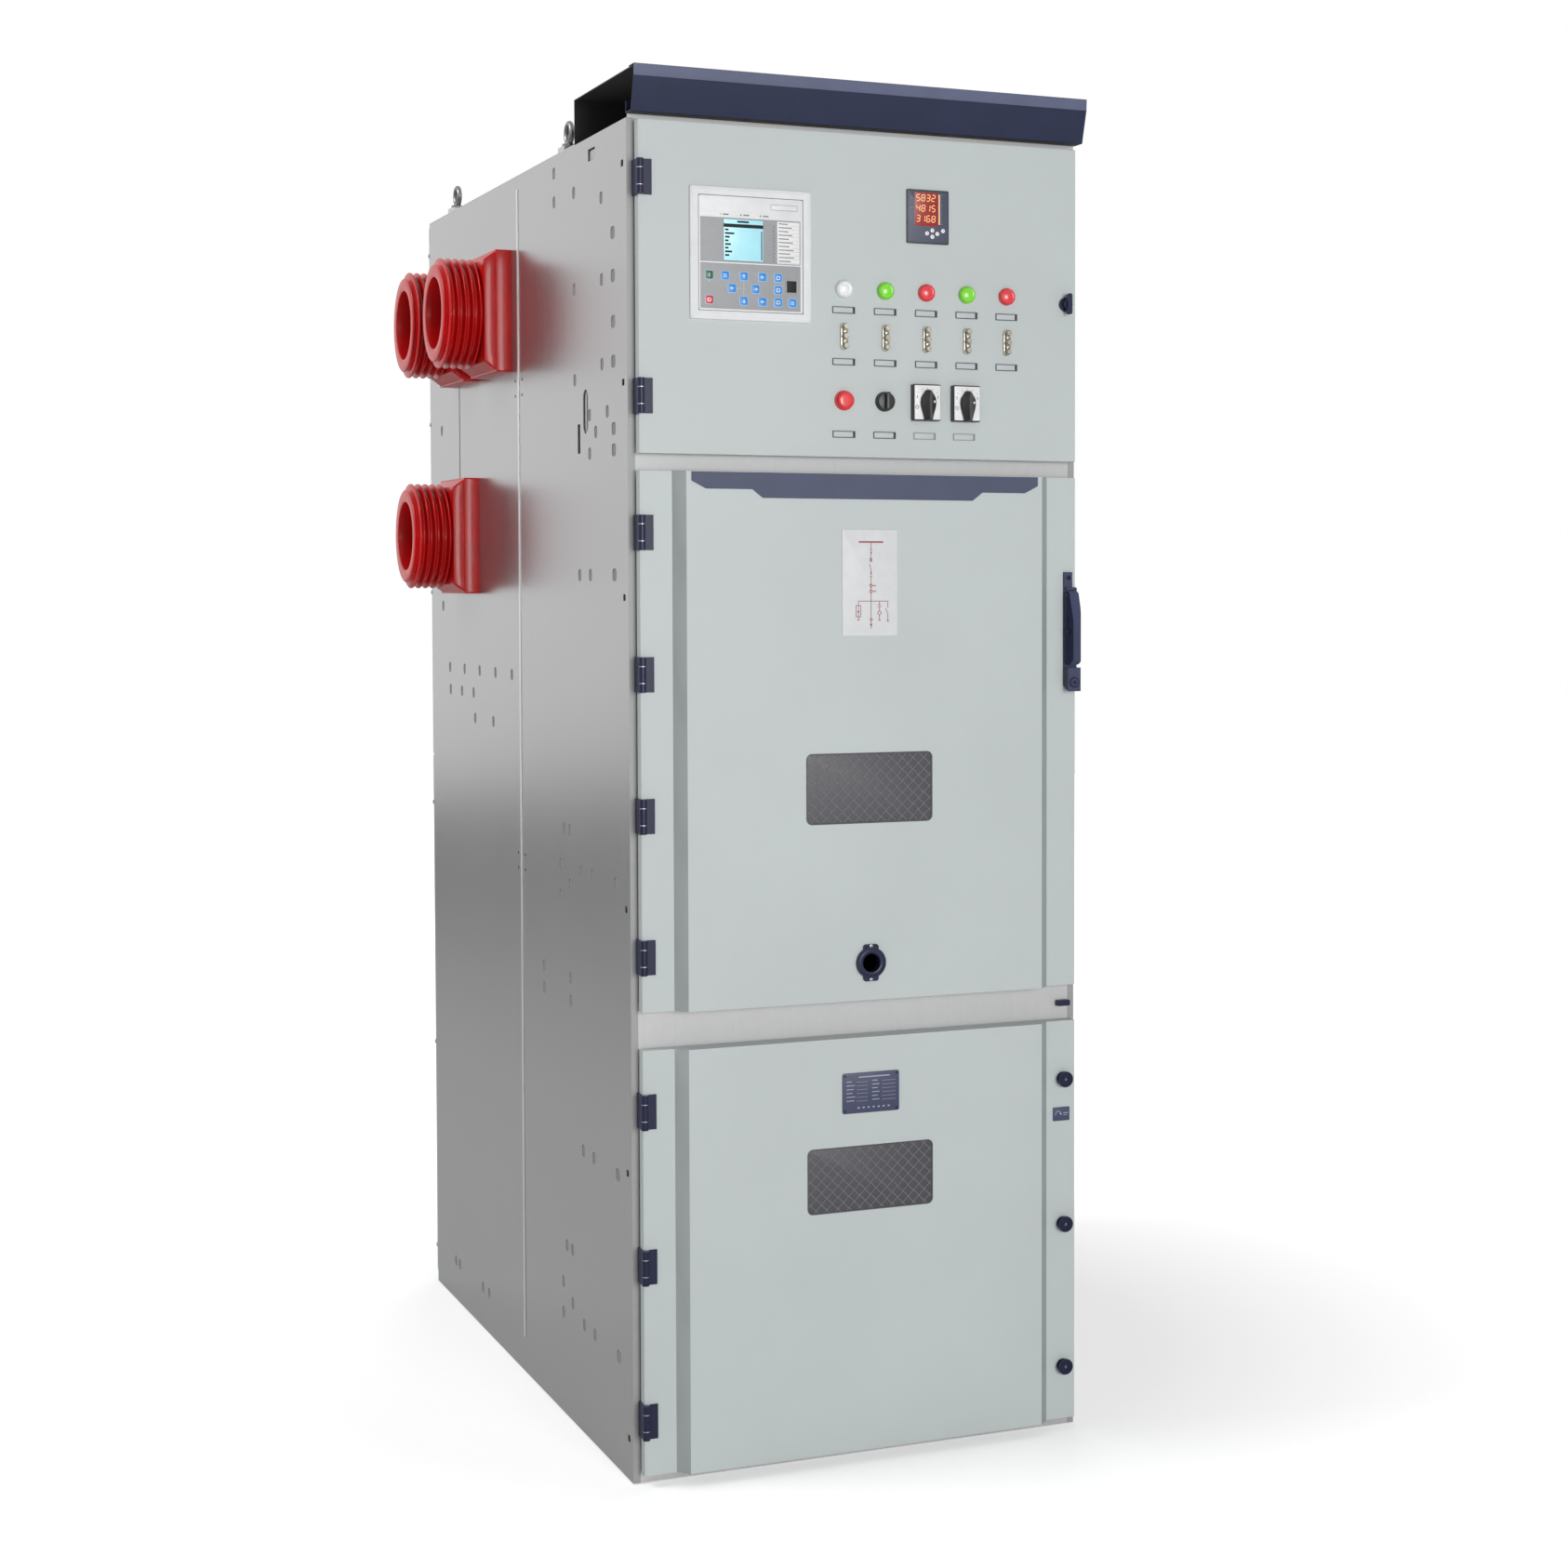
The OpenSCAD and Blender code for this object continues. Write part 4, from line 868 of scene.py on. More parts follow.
# Small black domes stand for the dark of the holes beside the seams: painted shade.
seam_hole_shades = joined(stand(hole_shade_dome, "left", *seam_holes),
                     stand(hole_shade_dome, "right", *[(-x, y, z) for x, y, z in seam_holes]))
piece("seam_hole_shades", "cabinet", [(seam_hole_shades, duct_black)], "galvanised")

cover_low, cover_high = span("rear_covers")
side_z, side_y = [74, 508, 1016, 1458, 1809, 2161], rear_y + 13
side_bolts = joined(*[stand(small_bolt, side, *[(x, side_y, z) for z in side_z])
                      for side, x in (("left", cover_low[0]), ("right", cover_high[0]))])
cover_boxes, margin, end_x = solids("rear_covers"), 22, (-190, 0, 190)
cover_places = [(x, cover_high[1], z) for low, high in cover_boxes
                for z in np.linspace(low[2] + margin, high[2] - margin, 6)
                for x in (low[0] + margin, high[0] - margin)]
cover_places += [(x, cover_high[1], z) for low, high in cover_boxes
                 for z in (low[2] + margin, high[2] - margin) for x in end_x]
piece("cover_bolts", "cabinet",
      [(side_bolts, zinc_bolt), (stand(bolt, "rear", *cover_places), zinc_bolt)], "bright")
print("rear cover bolts:", len(cover_places), "and", 2 * len(side_z), "at the sides")

# %% Roof: flap bolts, plate bolts and lifting eyes
flap_boxes, eye_boxes = solids("relief_flaps"), solids("lifting_eyes")
margin, corner, first = 12, 14, 90      # from the edge; from the corner along the sides, and along the ends
flap_places = [(x, y, high[2]) for low, high in flap_boxes for x in (low[0] + margin, high[0] - margin)
               for y in np.linspace(low[1] + corner, high[1] - corner, 5)]
flap_places += [(x, y, high[2]) for low, high in flap_boxes for y in (low[1] + margin, high[1] - margin)
                for x in np.linspace(low[0] + first, high[0] - first, 5)]
(roof_x0, roof_y0, roof_z), (roof_x1, roof_y1, _) = span("roof_plate")
clear_of_eyes = 45
edge_places = [(x, y, roof_z + 2) for x in (roof_x0 + 14, roof_x1 - 14)
               for y in np.linspace(roof_y0 + 40, roof_y1 - 30, 7)
               if min(abs(y - middle(b)[1]) for b in eye_boxes) > clear_of_eyes]
roof_bolts = joined(stand(hex_bolt(8, 3.4, 1.0), "top", *flap_places), stand(bolt, "top", *edge_places))
piece("roof_bolts", "cabinet", [(roof_bolts, zinc_bolt)], "bright")


def eye_bolt(box):
    """A forged eye: a torus across the width, blended into a collar and a shank nut."""
    width, _, height = extent(box)
    radius = (height - 1) / 2 - 0.5
    rod = width / 2 if width < 14 else 5.0
    ring = np.column_stack([np.zeros(56), ring_outline(radius - rod, 56)])
    eye = swept(ring, ring_outline(rod, 20), up=(1, 0, 0), closed=True)
    collar = turned([[0, 0], [12.2, 0], [12.5, 0.6], [12.5, 4.6], [11.6, 5.6], [7.5, 6.4], [5.8, 9.5],
                     [4.2, 11], [0, 11]])
    x, y, _ = middle(box)
    return joined(stand(eye, "top", (x, y, box[1][2] - radius)), stand(collar, "top", (x, y, box[0][2])))


eyes = joined(*[eye_bolt(box) for box in eye_boxes])
piece("lifting_eyes_forged", "cabinet", [(eyes, forged)], "bright", ["lifting_eyes"])
print("roof bolts:", len(flap_places) + len(edge_places), "and", len(eye_boxes), "eyes")

# %% [markdown]
# ## Ribbed wall bushings
# Each bushing is one casting of red epoxy. A square flange block is bolted on the wall, a tapering neck
# stands on it, and five thin sheds stand out from a round barrel to lengthen the path along its skin.
# The barrel, its sheds and its bore are one profile turned round the axis. The two blocks have a hole
# in the middle, so each ring of points goes from an outline to the bore's circle.

# %% Bushing castings
bore, valley, tip = 67.0, 89, 103              # radii of the bore, and of the barrel between and at its sheds
flange_depth, last_shed, pitch, sheds = 29.0, 11, 14.0, 5   # the last shed is 11 mm behind the mouth


def shed_profile(foot, first, length, nose=1.7):
    """The outside of the barrel as (radius, height): round shed tips on sloping flanks, then the mouth.
    A shed tip is an arc: tip - nose + nose cos t, height + nose sin t."""
    t = np.radians(np.linspace(-80, 80, 8))
    arc = np.column_stack([tip - nose + nose * np.cos(t), nose * np.sin(t)])
    flank = np.array([[valley, -pitch / 2 + 0.8], [valley + 0.8, -pitch / 2 + 2.6]])
    one = np.concatenate([flank, arc, flank[::-1] * [1, -1]])
    ribs = np.concatenate([one + [0, first + pitch * k] for k in range(sheds)])
    mouth = [[tip - 11.6, length - 2.2], [tip - 12.2, length - 0.8], [tip - 13.4, length], [bore + 2, length],
             [bore + 0.5, length - 0.5], [bore, length - 2]]
    return np.concatenate([[[valley, foot]], ribs[ribs[:, 1] < length - 4], mouth, [[bore, foot]]])


def bored_block(width, height, radius, foot, top, taper=0.0, ease=0.9):
    """A block with eased edges and a round hole: rings of the outline, then of the bore, each point of
    the bore lying on the line from the middle to its point of the outline. With a taper, the height
    shrinks from the foot to the top by (1 - taper / height)."""
    outline = box_outline(width, height, radius, 8)
    t = np.linspace(0, 1, 24, endpoint=False)[None, :, None]
    outline = (outline[:, None] * (1 - t) + np.roll(outline, -1, 0)[:, None] * t).reshape(-1, 2)[::3]
    circle = outline / np.linalg.norm(outline, axis=1, keepdims=True) * bore
    upper = outline * [1, 1 - taper / height]
    rings = [(outline, foot), (upper, top - ease), (upper * (1 - ease * 0.6 / height), top - ease * 0.3),
             (upper * (1 - ease * 2 / height), top), (circle, top), (circle, foot)]
    return grid(np.stack([np.column_stack([points, np.full(len(points), z)]) for points, z in rings]),
                wrap_rows=True)


for node in ("bushing_front_upper", "bushing_rear_upper", "bushing_rear_lower"):
    box = span(node)
    length, width, height = extent(box)
    first_shed = length - last_shed - (sheds - 1) * pitch
    neck_top = first_shed - 6
    flange = bored_block(width, height, 3, 0, flange_depth)
    neck = bored_block(width - 6, height - 4, 6, flange_depth - 1, neck_top, taper=30)
    barrel = turned(shed_profile(neck_top - 1, first_shed, length), 128, hollow=True)
    casting = stand(joined(flange, neck, barrel), "left", (box[1][0], *middle(box)[1:]))
    piece(node + "_casting", "cabinet", [(casting, resin)], "resin_red", [node], angle=34)
    print(node, "is", round(length), "long and", round(height), "high")

# %% [markdown]
# ## Doors
# A door is a shallow pan of 2 mm sheet. The two lower doors have a raised middle with sloping sides, which
# stiffens them and holds the arc pressure. The frame has these shapes, so they only get eased folds here.
# The slopes get painted shade: a darker tone of the coat where they turn away from the light, darker still
# where they face right.

# %% Door pans and hinges
def sloping(normals):
    """True for faces that lean away from the front, but still face it."""
    return (normals[:, 1] < -0.2) & (normals[:, 1] > -0.97)


for node in ("lv_door_panel", "breaker_door_panel", "cable_door_panel"):
    door = sheet_copy(node, door_coat, 0.9, 3)
    # Painted shade on the slopes of the pans: a darker tone, and a darker one still on the slopes that face
    # right.
    recolour(door, painted_shade_slopes, lambda m, n: sloping(n))
    recolour(door, painted_shade_far_slopes, lambda m, n: sloping(n) & (n[:, 0] > 0.2))
for node in ("frame_hinges", "lv_door_hinges", "breaker_door_hinges", "cable_door_hinges"):
    sheet_copy(node, navy, 0.5, 2)
sheet_copy("hinge_washers", zinc_bolt, 0.2)
sheet_copy("door_trim", trim_blue, 0.45, 2)
face_y, raised_y = span("lv_door_panel")[0][1], span("breaker_door_panel")[0][1]
print("door faces at", round(face_y), "and", round(raised_y), "mm")

# %% [markdown]
# Each lower door has a viewing window: a thick polycarbonate pane behind a cut-out, a rubber bead round
# the edge, and a diamond wire mesh that keeps parts and fingers apart. The mesh is two families of
# sloping wires. A wire is a path that weaves over and under by a small sine wave, with a round section
# carried along it. The pane is an opaque grey sheet: painted shade for the dark compartment behind it.

# %% Windows
def diamond_mesh(width, height, pitch=19.5, wire=0.85):
    """Wires along u + v = k pitch and u - v = k pitch, each cut to the window, weaving by a sine."""
    wires = []
    for slope in (1, -1):
        for k in np.arange(np.ceil(-(width + height) / 2 / pitch), (width + height) / 2 / pitch):
            c = (k + 0.5) * pitch
            ends = (c - width / 2, c + width / 2) if slope > 0 else (-width / 2 - c, width / 2 - c)
            low, high = max(-height / 2, ends[0]), min(height / 2, ends[1])
            if high - low < 4:
                continue
            v = np.linspace(low, high, max(int((high - low) / 3), 3))
            u = c - v if slope > 0 else c + v
            weave = 0.35 * slope * np.sin(np.pi * v / (pitch / 2))
            wander = 0.5 * np.sin(2 * np.pi * v / pitch)
            wires.append(swept(np.column_stack([u + wander, v, weave]), ring_outline(wire, 6)))
    return joined(*wires)


def window(door, node, opening_height, opening_width=226.0):
    """Pane, bead and mesh, placed by the pane's own box."""
    box = span(node)
    width, depth, height = extent(box)
    pane = slab(box_outline(width, height, 12, 6), depth, 0.6)
    edge = inset(box_outline(opening_width, opening_height, 10, 8), 0.05)
    bead = moulding(edge, [(0, 0), (0, 0.9), (0.4, 1.2), (1.6, 1.2), (2.0, 0.8), (2.1, 0)], hollow=True)
    wires = diamond_mesh(opening_width - 5, opening_height - 5)
    return piece(node + "_glazing", door, on_front([back_of(box)], (pane, pane_painted_shade))
                 + on_front([front_of(box)], (bead, dark_grey), (wires, mesh_wire)), "window", [node])


glazing = [window("breaker_door", "breaker_window", 118.0), window("cable_door", "cable_window", 110.0)]
print("window meshes:", [len(o.data.polygons) for o in glazing], "faces")

# %% [markdown]
# ## Mimic diagram
# The white plate on the breaker door carries the single-line diagram of the circuit in red: busbar, the
# plug contacts and the breaker, two current transformer rings, and four branches to the surge arrester,
# the cable, the voltage indicator and the earthing switch. Each symbol is a few flat lines, a hair above
# the plate.

# %% Mimic plate
thin, print_height = 1.0, 0.2
lines = [
    ([(-19.6, 67.7), (24, 67.7)], 2.6), ([(2, 66.5), (2, 55.5)], thin),
    ([(-0.4, 54), (2, 56.4), (4.4, 54)], thin), ([(2, 52.6), (2, 48)], 2.0), ([(2, 48), (2, 33.6)], thin),
    ([(-0.8, 41.2), (4.8, 35.6)], thin), ([(-0.8, 35.6), (4.8, 41.2)], thin),
    ([(-0.6, 31), (2, 21.6), (2, 17.5)], thin), ([(2, 18), (2, 13.2)], 2.0),
    ([(-0.4, 11.6), (2, 9.2), (4.4, 11.6)], thin), ([(2, 9.4), (2, -60.2)], thin),
    ([(-21, -30.6), (32.4, -30.6)], thin), ([(-20.6, -30.6), (-20.6, -62)], thin),
    ([(-23, -62), (-18.2, -62)], thin), ([(17, -30.6), (17, -37)], thin), ([(14, -37), (20, -37)], thin),
    ([(14, -40.2), (20, -40.2)], thin), ([(17, -40.2), (17, -46)], thin), ([(17, -54), (17, -62.5)], thin),
    ([(14.6, -62.5), (19.4, -62.5)], thin), ([(32, -30.6), (32, -41.4)], thin),
    ([(28.2, -42.4), (32, -52), (32, -62.8)], thin), ([(29.4, -62.8), (34.6, -62.8)], thin),
    ([(30.8, -64.4), (33.2, -64.4)], thin), ([(-0.6, -60.2), (2, -64.4), (4.6, -60.2), (-0.6, -60.2)], thin),
    ([(2, -64.4), (2, -76)], thin), ([(0.2, -68), (2, -72.5), (3.8, -68)], thin),
    ([(5, -4.7), (9.5, -4.7)], thin), ([(5, -14.2), (9.5, -14.2)], thin), ([(9.5, -6.4), (9.5, -3)], thin),
    ([(9.5, -15.9), (9.5, -12.5)], thin)]
transformer, arrester_box = ring_outline(2.6, 20), box_outline(8.2, 18.8)
loops = [transformer + [2, -4.7], transformer + [2, -14.2], arrester_box + [-20.6, -47.2],
         [[17, -46], [20.4, -50], [17, -54], [13.6, -50]]]
drawing = [flat_line(path, width, print_height) for path, width in lines]
drawing += [flat_loop(path, thin, print_height) for path in loops]
drawing.append(shift(slab([[-1.8, 2.2], [0, -2.6], [1.8, 2.2]], print_height, 0.05), -20.6, -49))
box = span("mimic_plate")
width, depth, height = extent(box)
plate = slab(box_outline(width, height, 1.5, 4), depth, 0.5)
piece("mimic_diagram", "breaker_door", on_front([back_of(box)], (plate, mimic_white))
      + on_front([front_of(box)], (joined(*drawing), mimic_red)), "mimic", ["mimic_plate"])
print("diagram symbols:", len(drawing))

# %% [markdown]
# ## Swing handle, locks and latch
# The breaker door closes with a swing handle of die-cast zinc in navy enamel. The frame has its three
# moving parts, so they only get eased edges here and the small features that show: a padlock eye on the
# side of the grip, the key barrel with its bezel ring, and the screw of the tab. The cable door has three
# quarter-turn locks with knurled rims, made by letting the radius of a turned disc ripple with the angle:
# r (1 - 0.018 (0.5 + 0.5 cos 24 t)).

# %% Handle details
for node, finish, ease in [
        ("handle_base", navy, 0.7), ("handle_grip", navy, 1.1), ("handle_hub", chrome, 0.4),
        ("latch_base", navy, 0.8), ("latch_knob", navy, 1.2)]:
    part = sheet_copy(node, finish, ease, 3)
    if node in ("handle_base", "handle_grip"):
        # Painted light: the faces of the handle that look to the front get the lighter navy.
        recolour(part, handle_painted_front_light, lambda m, n: n[:, 1] < -0.6)
base_low, base_high = span("handle_base")
grip_low, grip_high = span("handle_grip")
hub_x = middle((base_low, base_high))[0]
barrel_up, tab_screw, eye_in, eye_up = 15.5, (-4.25, -3.2, -10), 11, 57
lock_place = (hub_x, base_low[1], base_low[2] + barrel_up)
tab_place = np.array([hub_x, base_high[1], base_high[2]]) + tab_screw
bezel = turned([[6.6, 0], [6.8, 0.5], [8.4, 0.5], [9.2, 0]], 40, hollow=True)
cross = slab(plus_outline(4.5, 1.1), 0.12, 0.03)
# The black cross is painted shade in the keyway of the barrel.
piece("handle_key_barrel", "breaker_door",
      on_front([lock_place], (bezel, navy), (cross, duct_black)) + screws(navy, tab_place), "navy")
eye_hole = turned([[0, 0.05], [3.2, 0.05], [3.6, 0.3], [4.4, 0.3], [4.7, 0]], 28)
notch = slab([[-1.4, 0], [1.4, 3], [2.2, 14], [-0.4, 12]], 0.3, 0.1)
eye_place = (grip_low[0] + 0.02, grip_low[1] + eye_in, grip_low[2] + eye_up)
# The black disc and notch are painted shade for the padlock eye's hole.
piece("handle_padlock_eye", "handle_grip",
      [(stand(joined(eye_hole, shift(notch, up=12)), "left", eye_place), duct_black)], "navy")
print("handle is", round(grip_high[2] - grip_low[2]), "mm long over its grip")

# %% Quarter-turn locks
lock_top = 11.0


def quarter_turn(back=12.0, top=lock_top):
    """Stem, knurled disc, and a ring round a square key recess, from the foot of the disc; a dark slab in the
    recess is painted shade.
    """
    profile = [[0, -back], [6.2, -back], [6.6, 0.2 - back], [6.6, top - 4.4], [9, top - 4.2],
               [13.2, top - 4], [13.9, top - 3.2], [13.9, top - 1.1], [13.1, top - 0.1], [10.4, top],
               [9.9, top - 0.9], [8.9, top - 0.9], [8.4, top], [5.6, top], [5.2, top - 2.2], [0, top - 2.2]]
    disc = rippled(turned(profile, 96), lambda r, t:
                   1 - 0.018 * np.clip((r - 13) / 0.8, 0, 1) * (0.5 + 0.5 * np.cos(24 * t)))
    return disc, shift(slab(box_outline(5.4, 5.4, 0.6, 3), top - 0.4, 0.4, top - 2.4), turn=45)


disc, key = quarter_turn()
lock_boxes = {level: span("lock_knob_" + level) for level in ("low", "middle", "high")}
for level, box in lock_boxes.items():
    node, place = "lock_knob_" + level, at_depth(box, box[0][1] + lock_top)
    # The dark grey slab in the key recess is painted shade.
    layers = on_front([place], (disc, navy), (key, dark_grey))
    piece(node + "_turned", "lock_" + level, layers, "navy", [node])
washer = turned([[7.9, 0], [7.9, 1.2], [10.6, 1.2], [11.2, 0.6], [11.2, 0]], 40, hollow=True)
piece("lock_washers", "cable_door",
      on_front([at_depth(box, face_y) for box in lock_boxes.values()], (washer, navy)), "navy")
print("lock disc:", round(2 * disc[0][:, 0].max(), 1), "mm across")

# %% [markdown]
# The racking port is a turned collar with an ear above and below, screwed on the raised door. The blue
# plates on the cable door are anodised aluminium with light engraving. They stay generic: ruled fields
# with a dash for each entry, and an arrow that shows which way the locks turn.

# %% Racking port and plates
sheet_copy("racking_port", navy, 0.9, 3)
box = span("racking_port")
port_x, _, port_z = middle(box)
lip = turned([[15.7, 5.2], [15.7, 6.1], [17.0, 6.75], [21.5, 6.75], [23.4, 6.1], [24.2, 5.2]], 64,
             hollow=True)
ear_t, ear_up = 4, 28
ear_screws = screws(zinc_bolt, *[(port_x, raised_y - ear_t, port_z + up) for up in (-ear_up, ear_up)])
piece("racking_port_lip", "breaker_door",
      on_front([at_depth(box, raised_y)], (lip, navy)) + ear_screws, "navy")

engraved = 0.12
fields = [([(-22, 26.5), (34, 26.5)], 2.0)]
for row in range(6):
    z = 19.5 - row * 6.4
    fields += [([(-44, z), (-34 + (row * 5) % 7, z)], 1.3), ([(-26, z - 1.2), (-6, z - 1.2)], 0.5),
               ([(2, z), (12 + (row * 3) % 6, z)], 1.3), ([(20, z - 1.2), (44, z - 1.2)], 0.5)]
fields += [([(-24 + 9 * k, -25), (-20.5 + 9 * k, -25)], 2.4) for k in range(7)]
engraving = joined(*[flat_line(path, width, engraved) for path, width in fields])
arrow_t = np.radians(np.linspace(200, 20, 14))
arrow = joined(flat_line(np.column_stack([-6 + 5 * np.cos(arrow_t), 5 * np.sin(arrow_t)]), 1.1, engraved),
               slab([[-3.4, 1.6], [1.2, 1.6], [-0.4, -2.6]], engraved, 0.02),
               flat_line([(4, 1.5), (13, 1.5)], 1.4, engraved), flat_line([(4, -2), (11, -2)], 1.0, engraved))
name_plate, tag_plate = solids("cable_door_plates")
layers = []
for box, radius, marks in ((name_plate, 4, engraving), (tag_plate, 2, arrow)):
    width, depth, height = extent(box)
    plate = slab(box_outline(width, height, radius, 5), depth, 0.3)
    layers += on_front([back_of(box)], (plate, plate_navy)) + on_front([front_of(box)], (marks, plate_marks))
x, y, z = front_of(name_plate)
corners = [(x + across, y, z + up) for across in (-46.5, 46.5) for up in (-29.5, 29.5)]
layers += on_front(corners, (rivet(2.0, 0.9), navy))
piece("engraved_plates", "cable_door", layers, "navy", ["cable_door_plates"])
print("engraved fields:", len(fields))

# %% [markdown]
# ## Protection relay
# The relay is the brain of the cubicle: a wide moulded bezel round a white face, with a status strip, a
# liquid crystal display, a column of alarm lights with a card beside it, and a grey keypad. The face is
# built up from thin slabs, each with its own finish. Nothing on it is written: display rows and card
# entries are plain bars, and the keys carry only the open, close and arrow marks of any such keypad.

# %% Relay bezel and face
box = span("relay")
relay_x, _, relay_z = middle(box)
relay_w, _, relay_h = extent(box)
behind_door, bezel_w, top = box[1][1] - face_y, 14, 5.0
face_w, face_h = relay_w - 2 * bezel_w, relay_h - 2 * bezel_w
bezel = moulding(box_outline(relay_w, relay_h, 3, 4), [
    (0, 0), (0, 3.4), (0.5, 4.3), (1.4, 4.7), (4.4, 4.8), (5.0, 5.3), (12.8, 5.5), (13.6, 5.4),
    (bezel_w, 5.0), (bezel_w, 0)], hollow=True)
backing = slab(box_outline(face_w + 2, face_h + 2), 4.2, 0.1)
face_plate = slab(box_outline(face_w - 1.8, face_h - 1.8, 3, 5), top, 0.3, 4.0)
case = slab(box_outline(face_w - 2, face_h - 2, 2, 3), 0.0, 0.5, -behind_door)
clip = slab(box_outline(7, 22, 1.5, 3), 5.5, 0.5, 4)
clips = [shift(clip, side * (relay_w / 2 - 5.2), 3) for side in (-1, 1)]


def tile(x0, x1, z0, z1, height=0.3, radius=0.6):
    """A thin slab on the relay's face between two corners."""
    outline = box_outline(x1 - x0, z1 - z0, radius, 3)
    return shift(slab(outline, top + height, min(0.15, height / 2), top - 0.3), (x0 + x1) / 2, (z0 + z1) / 2)


def dome(x, z, radius, height):
    """A small clear lens on the relay's face."""
    return shift(turned([[0, top + height], [radius * 0.7, top + height * 0.9], [radius, top]], 16), x, z)


strip = tile(-87, 85, 58.6, 67.5, 0.35)
panel, keypad = tile(-87, 85, -14.2, 57.8, 0.25), tile(-87, 85, -90, -16, 0.25)
display_frame, display = tile(-47.9, 21.1, -12.0, 56.4, 0.45), tile(-47.1, 20.3, -11.2, 55.6, 0.6)
ink = [tile(-47.1, 20.3, 42.4, 48.2, 0.7, 0.2), tile(-24, -4, 50.4, 53.4, 0.7, 0.2),
       tile(16.8, 18.6, -9, 38, 0.7, 0.2)]
ink += [tile(-45, -45 + length, 37.0 - 5.9 * row, 40.0 - 5.9 * row, 0.7, 0.2)
        for row, length in enumerate((6, 16, 8, 6, 10, 6, 12, 7))]
card = tile(44.8, 83.4, -12.6, 55.6, 0.5)
drops = -6.06 * np.arange(11)                    # the rows of the card, and the alarm lights beside them
rules = [tile(45.2, 83.0, 49.3 + z, 49.6 + z, 0.56, 0.05) for z in drops]
entries = [tile(47, 63 + (row * 7) % 13, 51.4 + z, 53.2 + z, 0.6, 0.1) for row, z in enumerate(drops)]
alarm_lines = [tile(27, 42, 49.3 + z, 49.6 + z, 0.35, 0.05) for z in drops]
alarms = [dome(38.5, 52.2 + z, 1.2, 0.5) for z in drops]
status_x = (-52.6, -17.5, 15.9)
status = [dome(x, 63.0, 1.6, 0.7) for x in status_x]
status_bars = [tile(x + 4, x + 14, 61.9, 64.1, 0.45, 0.1) for x in status_x]
plaque_edge, plaque = tile(34, 80, 74, 83, 0.15, 0.8), tile(34.5, 79.5, 74.5, 82.5, 0.3, 0.6)
key_lines = [tile(-74, -70, -46.3, -45.7, 0.35, 0.05), tile(-34, -8, -56.3, -55.7, 0.35, 0.05),
             tile(-13.3, -12.7, -72, -40, 0.35, 0.05)]
relay_parts = [
    (pale_bezel, bezel, *clips), (dark_grey, backing, case, plaque_edge),
    (relay_white, face_plate, strip, plaque), (relay_grey, panel, keypad), (mid_grey, display_frame),
    (lcd, display), (lcd_ink, *ink),
    (white, card, *key_lines), (mid_grey, *rules, *alarm_lines, *entries, *status_bars),
    (dark_grey, *alarms[1:], *status[1:]), (lamp_green, alarms[0], status[0])]
piece("relay_bezel", "lv_door", on_front(
    [(relay_x, face_y, relay_z)], *[(joined(*parts), finish) for finish, *parts in relay_parts]),
    "relay_blue", ["relay"])
print("relay face is", round(face_w), "by", round(face_h), "mm")

# %% [markdown]
# The keys are soft blue caps with a pale glowing rim. Their places come from the solids of the node, from
# left to right, and each gets its mark: a bar for close, a ring for open, or an arrow.

# %% Relay keys
mark_height = 0.15


def arrow_mark(turn, size=3.0):
    """A shaft and two barbs, pointing up before it is turned."""
    shaft, barbs = [(0, -size), (0, size * 0.9)], [(-size * 0.7, 0.2), (0, size), (size * 0.7, 0.2)]
    return shift(joined(*[flat_line(path, 1.1, mark_height) for path in (shaft, barbs)]), turn=turn)


bar_mark = flat_line([(0, -2.8), (0, 2.8)], 1.3, mark_height)
ring_mark = flat_loop(ring_outline(2.6, 24), 1.2, mark_height)
menu_mark = joined(*[flat_line([(-2.8, z), (2.8, z)], 0.8, mark_height) for z in (-2, 0, 2)])
square_mark = flat_loop(box_outline(5, 5), 1.0, mark_height)


def key_mark(x, z):
    """The mark of a key, by its place on the relay's face."""
    upper, left = z > -50, x < -60
    if left:
        return bar_mark if upper else ring_mark
    if abs(x + 14) < 3:
        return arrow_mark(0 if upper else 180)
    if abs(z + 56) < 3 and x < 20:
        return arrow_mark(90 if x < -20 else -90)
    if abs(x - 18) < 3:
        return arrow_mark(90)
    return menu_mark if x < 40 or x > 60 else square_mark


key_boxes, key_cap_height = solids("relay_keys"), 1.2
places, marks, caps = [], [], {"blue": [], "green": [], "red": []}
for box in key_boxes:
    x, y, z = back_of(box)
    colour = "blue" if x - relay_x > -60 else "green" if z - relay_z > -50 else "red"
    caps[colour].append((x, y, z))
    places.append((x, y, z))
    marks.append(stand(key_mark(x - relay_x, z - relay_z), "front", (x, y - key_cap_height, z)))
cap = slab(box_outline(13, 13, 2.4, 4), key_cap_height, 0.5)
glow = slab(box_outline(15, 15, 2.8, 4), 0.4, 0.2)
cap_layers = [(stand(cap, "front", *caps[colour]), finish)
              for colour, finish in (("blue", key_blue), ("green", key_green), ("red", key_red))]
piece("relay_key_caps", "lv_door",
      cap_layers + on_front(places, (glow, key_glow)) + [(joined(*marks), white)], "key_blue", ["relay_keys"])
port_frame = moulding(box_outline(22, 24, 2, 4), [
    (0, 0), (0, 0.4), (0.4, 0.7), (2.2, 0.7), (2.6, 0.5), (2.6, 0)], hollow=True)
# The black slab in the port is painted shade for its opening.
port_hole = slab(box_outline(18, 20, 1.5, 3), 0.3, 0.1)
port_right, port_down = 69.5, 49.5
port_place = (relay_x + port_right, face_y - top, relay_z - port_down)
piece("relay_port", "lv_door",
      on_front([port_place], (port_frame, relay_grey), (port_hole, duct_black)), "relay_blue")
print("relay keys:", len(key_boxes))

